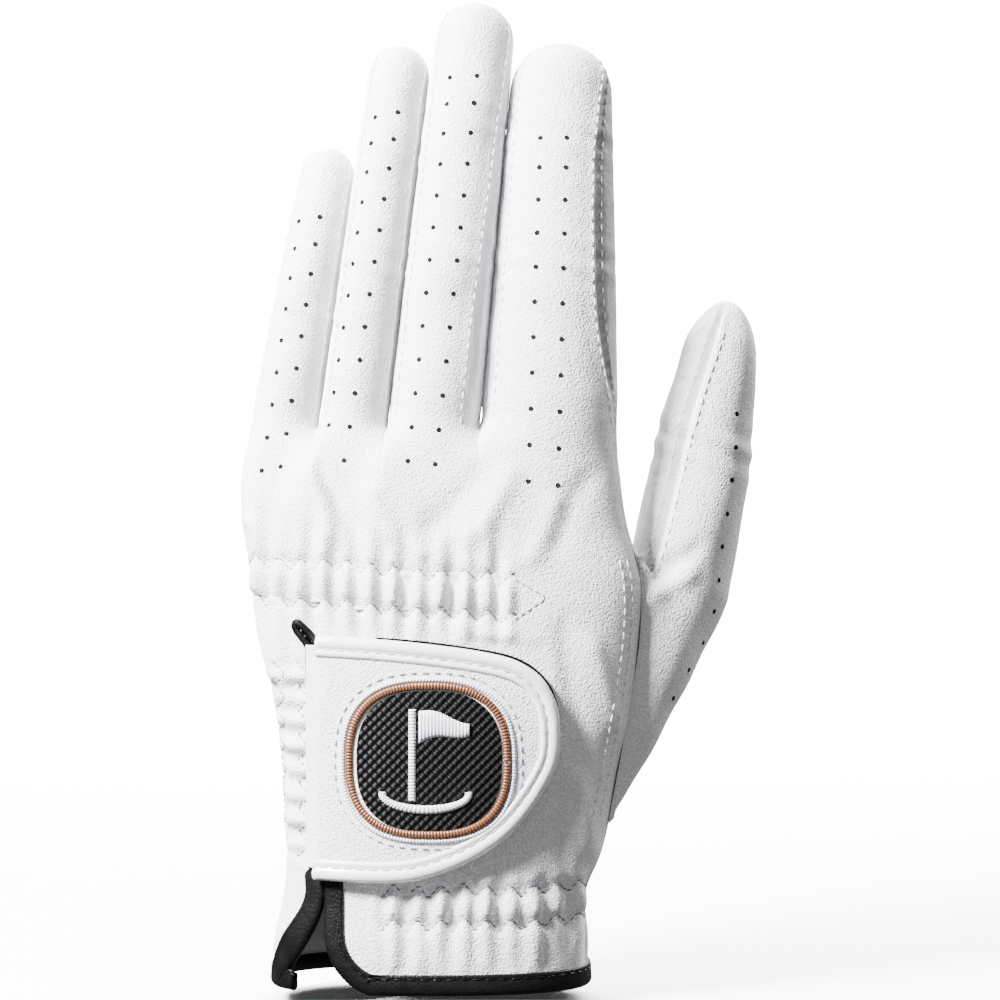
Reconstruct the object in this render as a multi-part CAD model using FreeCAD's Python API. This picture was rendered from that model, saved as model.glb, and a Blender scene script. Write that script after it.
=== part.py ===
"""Left-hand golf glove, open as if worn, fingers up. Millimetres.

Origin: middle of the wrist opening at the hem. +Z runs to the fingertips, the back of
the hand faces -Y, the palm faces +Y and the thumb is on the +X side.
"""

import FreeCAD, Part
import math
import os

V = FreeCAD.Vector

# Driving dimensions
LEATHER = 0.9  # wall of every sewn panel
HINGE_Z = 133.0  # height of the folds at the finger roots
ROOT_GAP = 5.0  # from the top of the hand panels up to those folds
PLAY = 0.3  # clearance between pieces on different bodies
SKIN = 0.05  # clearance between layers that move together
AXIS_BACK = 3.0  # finger folds lie this far to the palm side of a finger's middle

ROOT_FOLD, MIDDLE_FOLD, TIP_FOLD = 70.0, 85.0, 51.0  # degrees of bend at each knuckle
CURL = (0.0, 5.0, 6.0)  # resting bend of each finger segment on the one below

# Sections of the hand: height, middle x, middle y, half width, half depth
HAND = [
    (-2, -2.0, 1.0, 36.0, 21.0),
    (10, -2.0, 1.0, 36.1, 21.0),
    (20, -1.2, 1.0, 34.8, 20.0),
    (30, 1.0, 1.0, 36.2, 19.3),
    (44, 2.2, 1.0, 38.2, 19.0),
    (65, 3.0, 1.0, 41.3, 18.4),
    (79, 2.5, 1.0, 43.9, 17.5),
    (93, 1.3, 1.3, 45.1, 16.4),
    (105, -1.2, 1.5, 44.4, 15.4),
    (118, -2.2, 1.8, 43.6, 14.4),
    (131, -1.4, 2.0, 42.2, 13.5),
]
SQUARENESS = 2.5  # 2 is an ellipse, more is squarer
PALM_SLOPE = -0.09  # the side seams run through this plane, y = PALM_START + slope * x
PALM_START = -0.5

# Each finger: root position, lean to +X in degrees, half width at the root and near the
# tip, half depth at the same two places, lengths of its three segments, and where its
# panels meet, in degrees round from the middle of the back: back to fourchette and
# fourchette to palm, first on the little-finger side, then on the thumb side. Equal
# angles mean no fourchette there.
FINGERS = {
    "little": ((-35.35, 6.0), 9.3, (7.7, 6.2), (8.2, 7.0), (22, 19, 19.4), (105, 105, 66, 118)),
    "ring": ((-19.3, 2.5), 7.1, (7.8, 7.1), (9.0, 8.0), (31, 28, 24.9), (66, 118, 66, 118)),
    "middle": ((-0.7, 0.5), 5.85, (10.35, 9.1), (10.0, 9.0), (34, 31, 28.8), (66, 118, 58, 118)),
    "index": ((25.4, 1.0), 2.15, (15.0, 11.7), (11.5, 10.5), (31, 28, 24.8), (60, 118, 53, 53)),
}
SEGMENTS = ("base", "middle", "tip")

# Thumb: root on the hand, then its two folds and its tip, half width and half depth at the
# folds, and how its size falls along the tip
THUMB_ROOT, THUMB_ROOT_SIZE = V(33, 8, 66), (30.0, 14.0)
THUMB_FOLDS = (V(55.6, 11.5, 92), V(61.4, 12.5, 123))
THUMB_TIP = V(67.4, 14, 157.5)
THUMB_SIZES = ((12.0, 11.4), (11.3, 10.2))
THUMB_TAPER = ((0.35, 0.93), (0.6, 0.82), (0.8, 0.64), (0.93, 0.38), (0.99, 0.14))
THUMB_BEND_TOWARDS = V(-0.25, 0.97, 0)  # out in front of the palm
THUMB_BENDS = ((30.0, 10.0), (50.0, 0.0))  # bend and spread at each fold
THUMB_PALM_FACES, THUMB_SEAM = V(-0.75, 0.66, 0), -1.0

# Slit in the back at the wrist: its top end, its middle where it starts to widen, and its
# left and right edges at the hem
SLIT_TOP = (-28.4, 84.0)
SLIT_FLARE = (-25.6, 22.0)
SLIT_HEM = (-32.0, -13.5)
SLIT_HALF = 0.7
BINDING = 3.4  # width of the black bindings
BINDING_STANDS = 0.6  # how far a binding stands off the panel

# Closure tab, outline on the back of the hand as x, z
TAB_EDGE = [(-27.0, 80.1), (-8.4, 78.8), (9.4, 76.5), (18.6, 73.8), (24.2, 68.6), (26.5, 60.0),
            (24.6, 48.8), (13.9, 34.6), (-4, 26), (-27.0, 25.2)]
TAB_INSET = 3.6  # width of the white binding
LOOP_SHIFT = (1.0, 1.0)
LAYERS = {"anchor": (0.65, 1.2), "loop": (0.05, 0.95), "hook": (1.3, 2.1), "face": (2.15, 3.0), "binding": (1.9, 3.5),
          "field": (3.05, 3.6), "border": (3.05, 3.9), "emblem": (3.65, 4.0)}
TAB_ANCHOR = (-30.0, -25.6, 28.0, 78.0)  # sewn flange that the tab turns on: x0, x1, z0, z1
PATCH_MIDDLE, PATCH_HALF, PATCH_BORDER = (-2.0, 52.5), (18.0, 17.3), 1.7


# Basic shapes
def closed_curve(points):
    """A smooth closed wire through the points."""
    curve = Part.BSplineCurve()
    curve.interpolate(points, PeriodicFlag=True)
    return Part.Wire(curve.toShape())


def hand_ring(section, grow, count=28):
    """One section of the hand, a squared ellipse, grown outwards."""
    z, cx, cy, half_x, half_y = section
    points = []
    for i in range(count):
        t = 2 * math.pi * i / count
        c, s = math.cos(t), math.sin(t)
        x = math.copysign(abs(c) ** (2 / SQUARENESS), c) * (half_x + grow)
        y = math.copysign(abs(s) ** (2 / SQUARENESS), s) * (half_y + grow)
        points.append(V(cx + x, cy + y, z))
    return closed_curve(points)


def hand_solid(grow):
    return Part.makeLoft([hand_ring(s, grow) for s in HAND], True, False)


def hand_layer(low, high):
    """The space between two offsets of the hand."""
    return hand_solid(high).cut(hand_solid(low))


def block(x0, x1, y0, y1, z0, z1):
    return Part.makeBox(x1 - x0, y1 - y0, z1 - z0, V(x0, y0, z0))


def prism_through_back(points, smooth_from=None):
    """An outline in x, z carried through the back half of the hand."""
    at = [V(x, -40, z) for x, z in points]
    if smooth_from is None:
        wire = Part.makePolygon(at + [at[0]])
    else:
        curve = Part.BSplineCurve()
        curve.interpolate(at)
        wire = Part.Wire([curve.toShape(), Part.makeLine(at[-1], at[0])])
    return Part.Face(wire).extrude(V(0, 39, 0))


def inset(points, by):
    """The tab's outline moved in by a distance, keeping its straight root."""
    moved = []
    last = len(points) - 1
    for i, (x, z) in enumerate(points):
        before, after = points[max(i - 1, 0)], points[min(i + 1, last)]
        dx, dz = after[0] - before[0], after[1] - before[1]
        size = math.hypot(dx, dz)
        nx, nz = dz / size, -dx / size
        moved.append((x if i in (0, last) else x + nx * by, z + nz * by))
    return moved


def save(name, shape):
    solids = [s for s in shape.Solids if s.Volume > 1.0]
    Part.makeCompound(solids).exportStep(f"parts/{name}.step")
    return name


# Fingers, in their own frame: x across, y to the palm, z along
def tube(sizes, length, start, wall_in):
    """Tapering round-ended tube from z = start to its tip; wall_in shrinks it for the inside."""
    (half_x0, half_x1), (half_y0, half_y1) = sizes
    round_end = half_x1 * 1.05
    rings = [(start, 1.0)] + [(length - round_end, 1.0)]
    rings += [(length - round_end * (1 - math.sin(t)), math.cos(t)) for t in
              (math.radians(d) for d in (22, 42, 58, 72, 82))]
    wires = []
    for z, share in rings:
        along = max(0.0, min(1.0, z / (length - round_end)))
        half_x = (half_x0 + (half_x1 - half_x0) * along) * share - wall_in
        half_y = (half_y0 + (half_y1 - half_y0) * along) * share - wall_in
        if half_y < 0.6:
            continue
        turn = FreeCAD.Rotation() if half_x >= half_y else FreeCAD.Rotation(V(0, 0, 1), 90)
        ellipse = Part.Ellipse(V(0, 0, 0), max(half_x, half_y) + 1e-4, min(half_x, half_y))
        edge = ellipse.toShape()
        edge.Placement = FreeCAD.Placement(V(0, 0, z - wall_in * (share < 1)), turn)
        wires.append(Part.Wire(edge))
    return Part.makeLoft(wires, True, True)


def sector(start, end, height=300.0, reach=40.0):
    """A wedge round z, in degrees from the middle of the back towards the thumb side."""
    steps = max(2, math.ceil((end - start) / 40))
    angles = [math.radians(start + (end - start) * i / steps) for i in range(steps + 1)]
    rim = [V(reach * math.sin(a), -reach * math.cos(a), -60) for a in angles]
    centre = V(0, 0, -60)
    return Part.Face(Part.makePolygon([centre, *rim, centre])).extrude(V(0, 0, height))


def half_space(point, normal, size=200.0):
    """Everything on the side of the plane that the normal points to."""
    slab = Part.makeBox(2 * size, 2 * size, size, V(-size, -size, 0))
    slab.Placement = FreeCAD.Placement(point, FreeCAD.Rotation(V(0, 0, 1), normal))
    return slab


def notch(fold_z, half_angle, upwards):
    """Keeps the part above (or below) a fold, cut back on the palm side to let it close."""
    a = math.radians(half_angle)
    side = 1 if upwards else -1
    pivot = V(0, AXIS_BACK, fold_z + side * PLAY / 2)
    return half_space(pivot, V(0, -math.sin(a), side * math.cos(a)))


def finger_nodes(name, spec):
    (root_x, root_y), lean, half_x, half_y, lengths, (left_back, left_palm, right_back,
                                                     right_palm) = spec
    length = sum(lengths)
    outer = tube((half_x, half_y), length, -ROOT_GAP + PLAY, 0)
    inner = tube((half_x, half_y), length, -ROOT_GAP + PLAY - 1, LEATHER)
    wall = outer.cut(inner)
    folds = (0.0, lengths[0], lengths[0] + lengths[1])
    bends = tuple((bend + rest) / 2 + 1 for bend, rest in
                  zip((ROOT_FOLD, MIDDLE_FOLD, TIP_FOLD), CURL))
    carry = FreeCAD.Placement(V(root_x, root_y, HINGE_Z), FreeCAD.Rotation(V(0, 1, 0), lean))
    off_hand = half_space(V(0, 0, HINGE_Z - ROOT_GAP + PLAY), V(0, 0, 1))
    made = []
    for i, segment in enumerate(SEGMENTS):
        piece = wall.common(notch(folds[i], bends[i], True))
        if i > 0:
            piece = piece.common(half_space(V(0, 0, folds[i] + PLAY / 2), V(0, 0, 1)))
        if i < 2:
            piece = piece.common(notch(folds[i + 1], bends[i + 1], False))
            piece = piece.common(half_space(V(0, 0, folds[i + 1] - PLAY / 2), V(0, 0, -1)))
        panels = {
            "back": sector(-left_back, right_back),
            "palm": sector(right_palm, 360 - left_palm),
        }
        sides = []
        if right_palm > right_back:
            sides.append(sector(right_back, right_palm))
        if left_palm > left_back:
            sides.append(sector(-left_palm, -left_back))
        rest = FreeCAD.Placement()
        for fold, angle in list(zip(folds, CURL))[i:0:-1]:
            turn = FreeCAD.Rotation(V(-1, 0, 0), angle)
            rest = FreeCAD.Placement(V(0, 0, 0), turn, V(0, AXIS_BACK, fold)) * rest
        for panel, tool in panels.items():
            shape = piece.common(tool)
            shape.Placement = carry * rest
            made.append(save(f"{name}_{segment}_{panel}", shape.common(off_hand)))
        shape = Part.makeCompound([piece.common(tool) for tool in sides])
        shape.Placement = carry * rest
        made.append(save(f"{name}_{segment}_fourchettes", shape.common(off_hand)))
    return made


# Thumb
def ring_at(point, direction, sizes, wall_in=0.0):
    """An ellipse across a direction, its long axis as near as it can be to the bend's axis."""
    across = direction.cross(THUMB_BEND_TOWARDS)
    across.normalize()
    bend_side = across.cross(direction)
    half_across, half_bend = (s - wall_in for s in sizes)
    points = []
    for i in range(20):
        t = 2 * math.pi * i / 20
        points.append(point + across * (half_across * math.cos(t))
                      + bend_side * (half_bend * math.sin(t)))
    return closed_curve(points)


def unit(vector):
    size = vector.Length
    return V(vector.x / size, vector.y / size, vector.z / size)


def thumb_fold(point, low_direction, high_direction, bends):
    """Cutting planes each side of a fold: the part below and the part above it."""
    along = unit(low_direction + high_direction)
    across = unit(along.cross(THUMB_BEND_TOWARDS))
    inwards = unit(across.cross(along))
    if inwards.dot(THUMB_BEND_TOWARDS) < 0:
        inwards = inwards * -1
    tools = []
    for side in (-1, 1):
        cut = None
        for sign, bend in ((1, bends[0]), (-1, bends[1])):
            a = math.radians(bend / 2 + 1)
            normal = along * (side * math.cos(a)) - inwards * (sign * math.sin(a))
            space = half_space(point + along * (side * PLAY / 2), normal)
            cut = space if cut is None else cut.common(space)
        tools.append(cut)
    return tools


def thumb_nodes():
    low, high = THUMB_FOLDS
    to_low, to_high, to_tip = (unit(low - THUMB_ROOT), unit(high - low), unit(THUMB_TIP - high))
    root_way = V(0.93, 0.1, 0.35)
    walls = []
    for wall_in in (0.0, LEATHER):
        root = Part.makeLoft([ring_at(THUMB_ROOT, root_way, THUMB_ROOT_SIZE, wall_in),
                              ring_at(low - to_low * 9, to_low, (15.5, 12.5), wall_in),
                              ring_at(low + to_high * 2, to_high, THUMB_SIZES[0], wall_in)],
                             True, False)
        shaft = Part.makeLoft([ring_at(low - to_high * 3, to_high, THUMB_SIZES[0], wall_in),
                               ring_at(high, to_high, THUMB_SIZES[1], wall_in),
                               ring_at(high + to_tip * 2, to_tip, THUMB_SIZES[1], wall_in)],
                              True, False)
        tip_length = (THUMB_TIP - high).Length - wall_in
        rings = [ring_at(high - to_tip * 3, to_tip, THUMB_SIZES[1], wall_in)]
        for share, size in THUMB_TAPER:
            mix = [THUMB_SIZES[1][k] * 0.97 * size for k in (0, 1)]
            rings.append(ring_at(high + to_tip * (tip_length * share), to_tip, mix,
                                 min(wall_in, 0.5 * mix[1])))
        tip = Part.makeLoft(rings, True, False)
        walls.append((root, shaft, tip))
    outer, inner = walls
    below_low, above_low = thumb_fold(low, to_low, to_high, THUMB_BENDS[0])
    below_high, above_high = thumb_fold(high, to_high, to_tip, THUMB_BENDS[1])
    root = outer[0].cut(inner[0]).common(below_low).cut(hand_solid(PLAY / 2))
    shaft = outer[1].cut(inner[1]).common(above_low).common(below_high)
    tip = outer[2].cut(inner[2]).common(above_high)
    middle = half_space(low + THUMB_PALM_FACES * THUMB_SEAM, THUMB_PALM_FACES, 120)
    made = []
    for label, shape in (("root", root), ("shaft", shaft), ("tip", tip)):
        made.append(save(f"thumb_{label}_palm", shape.common(middle)))
        made.append(save(f"thumb_{label}_back", shape.cut(middle)))
    return made, inner[0]


# Hand panels and what is sewn to them
def slit_outline(grow):
    """Half outlines of the slit: straight at the top, flaring below the tab to the hem."""
    (top_x, top), (flare_x, flare), (left, right) = SLIT_TOP, SLIT_FLARE, SLIT_HEM
    half = SLIT_HALF + grow
    return [(top_x - half, top + grow), (top_x + half, top + grow),
            (flare_x + half, flare), (flare_x + half + 0.6, flare - 6),
            ((flare_x + right) / 2 + grow, 6), (right + grow, -5), (left - grow, -5),
            (flare_x - half - 2.4, 8), (flare_x - half, flare)]


def top_trim():
    """What stays of the hand below the finger folds."""
    a = math.radians(ROOT_FOLD / 2 + 1)
    flat = half_space(V(0, 0, HINGE_Z - ROOT_GAP), V(0, 0, -1))
    low = HINGE_Z - 2.5
    sloped = half_space(V(0, 2 * AXIS_BACK, low), V(0, -math.sin(a), -math.cos(a)))
    return flat.common(sloped)


def palm_side(size=120.0):
    return half_space(V(0, PALM_START, 0), V(-PALM_SLOPE, 1, 0), size)


def hand_nodes(thumb_bore):
    trim = top_trim()
    wall = hand_layer(-LEATHER, 0).common(trim).cut(thumb_bore)
    hem = block(-80, 80, -80, 80, -10, 0.8)
    wall = wall.cut(hem)
    slit = prism_through_back(slit_outline(0))
    palm = wall.common(palm_side())
    back = wall.cut(palm_side()).cut(prism_through_back(slit_outline(0.1 + SKIN)))
    made = [save("palm_panel", palm), save("back_panel", back)]
    panels = hand_layer(-LEATHER - SKIN, SKIN)
    bind = hand_layer(-LEATHER - BINDING_STANDS, BINDING_STANDS)
    slit_band = prism_through_back(slit_outline(BINDING)).cut(slit)
    covered = panels.cut(block(-80, 80, -80, 80, -10, 0.7)).cut(
        prism_through_back(slit_outline(0.1)))
    above_hem = block(-80, 80, -80, 80, BINDING + SKIN, SLIT_TOP[1] + 20)
    slit_binding = bind.common(slit_band).common(above_hem).cut(covered)
    ring = bind.common(block(-80, 80, -80, 80, 0, BINDING)).cut(covered)
    made.append(save("slit_binding", slit_binding))
    made.append(save("hem_binding", ring.cut(slit)))
    inside = hand_layer(-LEATHER - 0.8, -LEATHER - SKIN)
    back_half = inside.cut(palm_side()).cut(prism_through_back(slit_outline(BINDING + PLAY)))
    made.append(save("knuckle_elastic", back_half.common(block(-42, 26, -60, 0, 86, 98))))
    made.append(save("wrist_elastic", back_half.common(block(-12, 34, -60, 0, 11, 24))))
    made.append(save("side_elastic", back_half.common(block(-42, -31.5, -60, 0, 32, 72))))
    return made


def crotch_nodes():
    """The fourchettes' lower ends: a small bridge from back to palm between two fingers."""
    names = list(FINGERS)
    bridges = []
    inside = hand_solid(-LEATHER - SKIN).common(top_trim())
    for a, b in zip(names, names[1:]):
        edge_a = FINGERS[a][0][0] + FINGERS[a][2][0]
        edge_b = FINGERS[b][0][0] - FINGERS[b][2][0]
        middle, half = (edge_a + edge_b) / 2, max(2.0, (edge_b - edge_a) / 2)
        bridges.append(inside.common(block(middle - half, middle + half, -30, 30,
                                           HINGE_Z - ROOT_GAP - 1.4, HINGE_Z - ROOT_GAP)))
    return [save("finger_crotches", Part.makeCompound(bridges))]


def patch_prism(grow):
    (cx, cz), (half_x, half_z) = PATCH_MIDDLE, PATCH_HALF
    points = []
    for i in range(24):
        t = 2 * math.pi * i / 24
        c, s = math.cos(t), math.sin(t)
        x = math.copysign(abs(c) ** (2 / 2.6), c) * (half_x + grow)
        z = math.copysign(abs(s) ** (2 / 2.6), s) * (half_z + grow)
        points.append(V(cx + x, -40, cz + z))
    return Part.Face(closed_curve(points)).extrude(V(0, 39, 0))


def emblem_prism():
    """A plain flag on its pole."""
    cx, cz = PATCH_MIDDLE
    pole = prism_through_back([(cx - 3.4, cz - 9), (cx - 1.8, cz - 9), (cx - 1.8, cz + 9.5),
                               (cx - 3.4, cz + 9.5)])
    flag = prism_through_back([(cx - 1.8, cz + 9.5), (cx + 7.5, cz + 5.4), (cx - 1.8, cz + 1.3)])
    return pole.fuse(flag)


def tab_nodes():
    edge = prism_through_back(TAB_EDGE, smooth_from=0)
    core = prism_through_back(inset(TAB_EDGE, TAB_INSET), smooth_from=0)
    hook = prism_through_back(inset(TAB_EDGE, TAB_INSET + 0.6), smooth_from=0)
    hook = hook.common(block(-12, 60, -60, 0, 0, 100))
    moved = [(x + LOOP_SHIFT[0], z + LOOP_SHIFT[1]) for x, z in TAB_EDGE]
    loop = prism_through_back(inset(moved, 0.4), smooth_from=0)
    loop = loop.common(block(-14, 60, -60, 0, 0, 100))
    layers = {name: hand_layer(*span) for name, span in LAYERS.items()}
    field = layers["field"].common(patch_prism(-PATCH_BORDER))
    border = layers["border"].common(patch_prism(0)).cut(patch_prism(-PATCH_BORDER + SKIN))
    rim = layers["binding"].common(edge).cut(core)
    x0, x1, z0, z1 = TAB_ANCHOR
    return [
        save("tab_anchor", layers["anchor"].common(block(x0, x1, -60, 0, z0, z1))),
        save("loop_pad", layers["loop"].common(loop)),
        save("hook_pad", layers["hook"].common(hook)),
        save("tab_face", layers["face"].common(core)),
        save("tab_binding", rim),
        save("patch_field", field),
        save("patch_border", border),
        save("patch_emblem", layers["emblem"].common(emblem_prism())),
    ]


def main():
    os.makedirs("parts", exist_ok=True)
    for old in os.listdir("parts"):
        os.remove(os.path.join("parts", old))
    made = []
    for name, spec in FINGERS.items():
        made += finger_nodes(name, spec)
    thumb, bore = thumb_nodes()
    made += thumb + hand_nodes(bore) + crotch_nodes() + tab_nodes()
    print(len(made), "nodes")


main()
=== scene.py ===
"""Left-hand golf glove: sewn panels, elastic shirring, bound slit and closure tab."""

import math

import bmesh
import bpy
import numpy as np
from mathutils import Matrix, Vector
from mathutils.bvhtree import BVHTree


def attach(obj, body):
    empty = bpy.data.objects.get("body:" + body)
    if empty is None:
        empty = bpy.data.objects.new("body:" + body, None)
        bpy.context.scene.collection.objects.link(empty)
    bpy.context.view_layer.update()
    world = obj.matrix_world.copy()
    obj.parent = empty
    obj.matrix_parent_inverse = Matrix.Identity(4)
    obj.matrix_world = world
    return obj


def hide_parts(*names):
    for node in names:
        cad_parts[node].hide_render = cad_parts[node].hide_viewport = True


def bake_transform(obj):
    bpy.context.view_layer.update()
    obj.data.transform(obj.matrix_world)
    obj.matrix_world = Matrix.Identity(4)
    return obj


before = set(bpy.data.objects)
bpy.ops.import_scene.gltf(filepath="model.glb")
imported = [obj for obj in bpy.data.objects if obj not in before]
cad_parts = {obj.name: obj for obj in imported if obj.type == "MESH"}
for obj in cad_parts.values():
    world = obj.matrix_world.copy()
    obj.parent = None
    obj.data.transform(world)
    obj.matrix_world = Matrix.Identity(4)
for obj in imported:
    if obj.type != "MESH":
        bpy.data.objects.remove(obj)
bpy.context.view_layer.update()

MM = 0.001

# Sizes in millimetres, as in the solids, but with the index and middle fingers slightly wider
LEATHER = 0.9
HINGE_Z, AXIS_BACK = 133.0, 3.0
CURL = (0.0, 5.0, 6.0)
SQUARENESS = 2.5
HAND = np.array([
    (-2, -2.0, 1.0, 36.0, 21.0), (10, -2.0, 1.0, 36.1, 21.0), (20, -1.2, 1.0, 34.8, 20.0),
    (30, 1.0, 1.0, 36.2, 19.3), (44, 2.2, 1.0, 38.2, 19.0), (65, 3.0, 1.0, 41.3, 18.4),
    (79, 2.5, 1.0, 43.9, 17.5), (93, 1.3, 1.3, 45.1, 16.4), (105, -1.2, 1.5, 44.4, 15.4),
    (118, -2.2, 1.8, 43.6, 14.4), (131, -1.4, 2.0, 42.2, 13.5)])
FINGERS = {
    "little": ((-35.35, 6.0), 9.3, (7.7, 6.2), (8.2, 7.0), (22, 19, 19.4)),
    "ring": ((-19.3, 2.5), 7.1, (7.8, 7.1), (9.0, 8.0), (31, 28, 24.9)),
    "middle": ((-0.8, 0.5), 5.85, (10.6, 9.2), (10.0, 9.0), (34, 31, 28.8)),
    "index": ((25.3, 1.0), 2.1, (15.75, 11.95), (11.5, 10.5), (31, 28, 24.8)),
}
SEGMENTS = ("base", "middle", "tip")
# Where each finger's panels meet, in degrees round from the middle of the back
SEAMS = {"little": (66, 66, 118, 105), "ring": (66, 66, 118, 118), "middle": (66, 58, 118, 118),
         "index": (60, 53, 118, 118)}
ROOT_ROW = -4.0  # fingers leave the hand this far below their folds
THUMB_FOLDS = (np.array((55.8, 11.5, 92.0)), np.array((61.6, 12.5, 123.0)))
THUMB_TIP = np.array((67.6, 14, 157.5))
THUMB_BEND = np.array((-0.25, 0.97, 0.0))
SLIT_TOP, SLIT_FLARE, SLIT_HALF, SLIT_CORNER = (-28.4, 82.6), (-25.6, 22.0), 0.7, 14.0
TAB_EDGE = [(-26.6, 80.1), (-8.4, 78.8), (9.4, 76.5), (18.6, 73.8), (24.2, 68.6), (26.5, 60.0),
            (24.6, 48.8), (13.9, 34.6), (-4, 26), (-26.6, 25.2)]
PATCH_MIDDLE, PATCH_HALF, PATCH_SQUARENESS = (-2.0, 52.5), (18.0, 17.3), 2.6


# ---------------------------------------------------------------- numbers
def ease(t):
    t = np.clip(t, 0, 1)
    return t * t * (3 - 2 * t)


def through(z, zs, values):
    """A smooth line through the values at heights zs."""
    zs, values = np.asarray(zs, float), np.asarray(values, float)
    slope = np.gradient(values, zs)
    i = np.clip(np.searchsorted(zs, z) - 1, 0, len(zs) - 2)
    h = zs[i + 1] - zs[i]
    t = np.clip((z - zs[i]) / h, 0, 1)
    return ((1 + 2 * t) * (1 - t) ** 2 * values[i] + t * (1 - t) ** 2 * h * slope[i]
            + t * t * (3 - 2 * t) * values[i + 1] + t * t * (t - 1) * h * slope[i + 1])


def bell(distance, width):
    return np.exp(-(np.asarray(distance) / width) ** 2)


def window(value, low, high, soft):
    """1 between low and high, easing to 0 over soft outside them."""
    return ease((value - low) / soft + 1) * ease((high - value) / soft + 1)


def unit(vectors):
    """Vectors along the last axis, each made one long."""
    return vectors / np.linalg.norm(vectors, axis=-1, keepdims=True)


def distances(path):
    """How far along a path each of its points lies."""
    steps = np.linalg.norm(np.diff(path, axis=0), axis=1)
    return np.concatenate([[0], np.cumsum(steps)])


def squircle(middle, halves, power, steps):
    """x and y round a rectangle whose corners are rounded by the power."""
    a = np.linspace(0, 2 * math.pi, steps + 1)
    c, s = np.cos(a), np.sin(a)
    return (middle[0] + halves[0] * np.sign(c) * np.abs(c) ** (2 / power),
            middle[1] + halves[1] * np.sign(s) * np.abs(s) ** (2 / power))


def ripple(x, z, seed):
    """A slow smooth wander between -1 and 1."""
    rng = np.random.default_rng(seed)
    total = 0
    for _ in range(5):
        ax, az = rng.uniform(0.05, 0.22, 2)
        total = total + np.sin(ax * x + az * z * rng.choice((-1, 1)) + rng.uniform(0, 6.28))
    return total / 3


# ---------------------------------------------------------------- hand surface
def hand_size(z):
    return [through(z, HAND[:, 0], HAND[:, k]) for k in (1, 2, 3, 4)]


def hand_side(x, z, front):
    """y of the hand's front (back of the hand) or palm surface at x, z."""
    cx, cy, half_x, half_y = hand_size(z)
    u = np.clip(np.abs((x - cx) / half_x), 0, 1)
    return cy + np.where(front, -1, 1) * half_y * (1 - u ** SQUARENESS) ** (1 / SQUARENESS)


FOLDS = [
    # soft folds: x and z of both ends, half width, height
    (-44.0, 107, -36, 92, 1.6, 0.7), (-41.5, 108, -34, 96, 1.4, -0.6),
    (-31, 119, -24, 101, 2.0, 0.7), (-27, 120, -20, 103, 1.8, -0.7),
    (12, 121, -4, 103, 3.5, -0.9), (18, 118, 6, 102, 2.6, 0.7),
    (-14, 114, -12, 102, 2.0, 0.5), (26, 112, 21, 96, 2.2, 0.6), (34, 118, 27, 99, 2.6, -0.5),
    (-40, 84, -36, 66, 1.6, 0.6), (-37, 86, -32, 62, 1.4, -0.6), (4, 84, 16, 79, 1.6, 0.5),
    (28, 84, 33, 60, 2.4, -0.5), (36, 80, 39, 58, 2.0, 0.5), (31, 50, 33, 30, 2.0, 0.5),
    (27, 47, 29, 27, 1.6, -0.5), (-10, 102, -2, 99, 1.4, 0.4), (8, 30, 22, 33, 1.8, -0.5),
]


def fold_relief(x, z):
    total = np.zeros_like(x)
    for x0, z0, x1, z1, width, height in FOLDS:
        dx, dz = x1 - x0, z1 - z0
        t = ((x - x0) * dx + (z - z0) * dz) / (dx * dx + dz * dz)
        off = ((x - x0) * dz - (z - z0) * dx) / math.hypot(dx, dz)
        total += height * bell(off + 1.2 * np.sin(t * 3.0 + x0), width) * window(t, 0.15, 0.85, 0.3)
    return total


def knuckle_row(x, low):
    """Height of the zigzag rows over the knuckle elastic; they fall slightly to the thumb."""
    return (88.6 if low else 97.4) - (x + 44) * 0.076 + 0.35 * np.sin(x * 0.21)


def wrist_row(x, low):
    return (15.8 if low else 23.2) + 0.3 * np.sin(x * 0.3)


def zigzag_at(x, start, pitch, depth):
    """Height of a zigzag above its middle line, low at start."""
    t = ((x - start) / pitch) % 1.0
    return depth * (0.5 - np.abs(2 * t - 1))


def shirring(x, z, rows, x_low, x_high, pitch, reach, seed):
    """Cloth gathered on elastic: pinched along its zigzag rows, puffed between them."""
    upper, lower = rows
    along = window(x, x_low + 2, x_high - 4, 6.0)
    wander = ripple(x, z, seed)
    phase = 2 * math.pi * (x - x_low) / pitch + 0.4 * wander
    middle = (upper + lower) / 2
    half = (upper - lower) / 2
    between = bell(z - middle, half * 1.05)
    above = bell(np.maximum(z - upper, 0), reach[0]) * bell(np.minimum(z - lower, 0), reach[1])
    puff = (0.55 - 0.5 * np.cos(phase)) * between * along
    gathers = 0.5 * np.cos(phase * 0.5 + 1.7 * wander) * above * along
    fine = -0.5 * np.cos(phase) * above * along
    zig = zigzag_at(x, x_low, pitch, ZIGZAG_DEPTH)
    pinch = -0.75 * (bell(z - upper - zig, 0.7) + bell(z - lower - zig, 0.7)) * along
    pinch -= 0.45 * (bell(z - upper, 1.8) + bell(z - lower, 1.8)) * along
    return puff + gathers + fine + pinch


KNUCKLE_SPAN, WRIST_SPAN, SIDE_SPAN = (-44.5, 17.5), (-12.5, 35.0), (30.0, 74.0)
KNUCKLE_PITCH, WRIST_PITCH, SIDE_PITCH = 5.3, 5.2, 5.5
SIDE_ROWS = (-30.6, -36.4)
ZIGZAG_DEPTH = 2.9


def tab_cover(x, z):
    """1 under the closure tab, where the cloth lies flat."""
    return window(x, -26, 24, 1.5) * window(z, 28, 77, 3.0)


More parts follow.
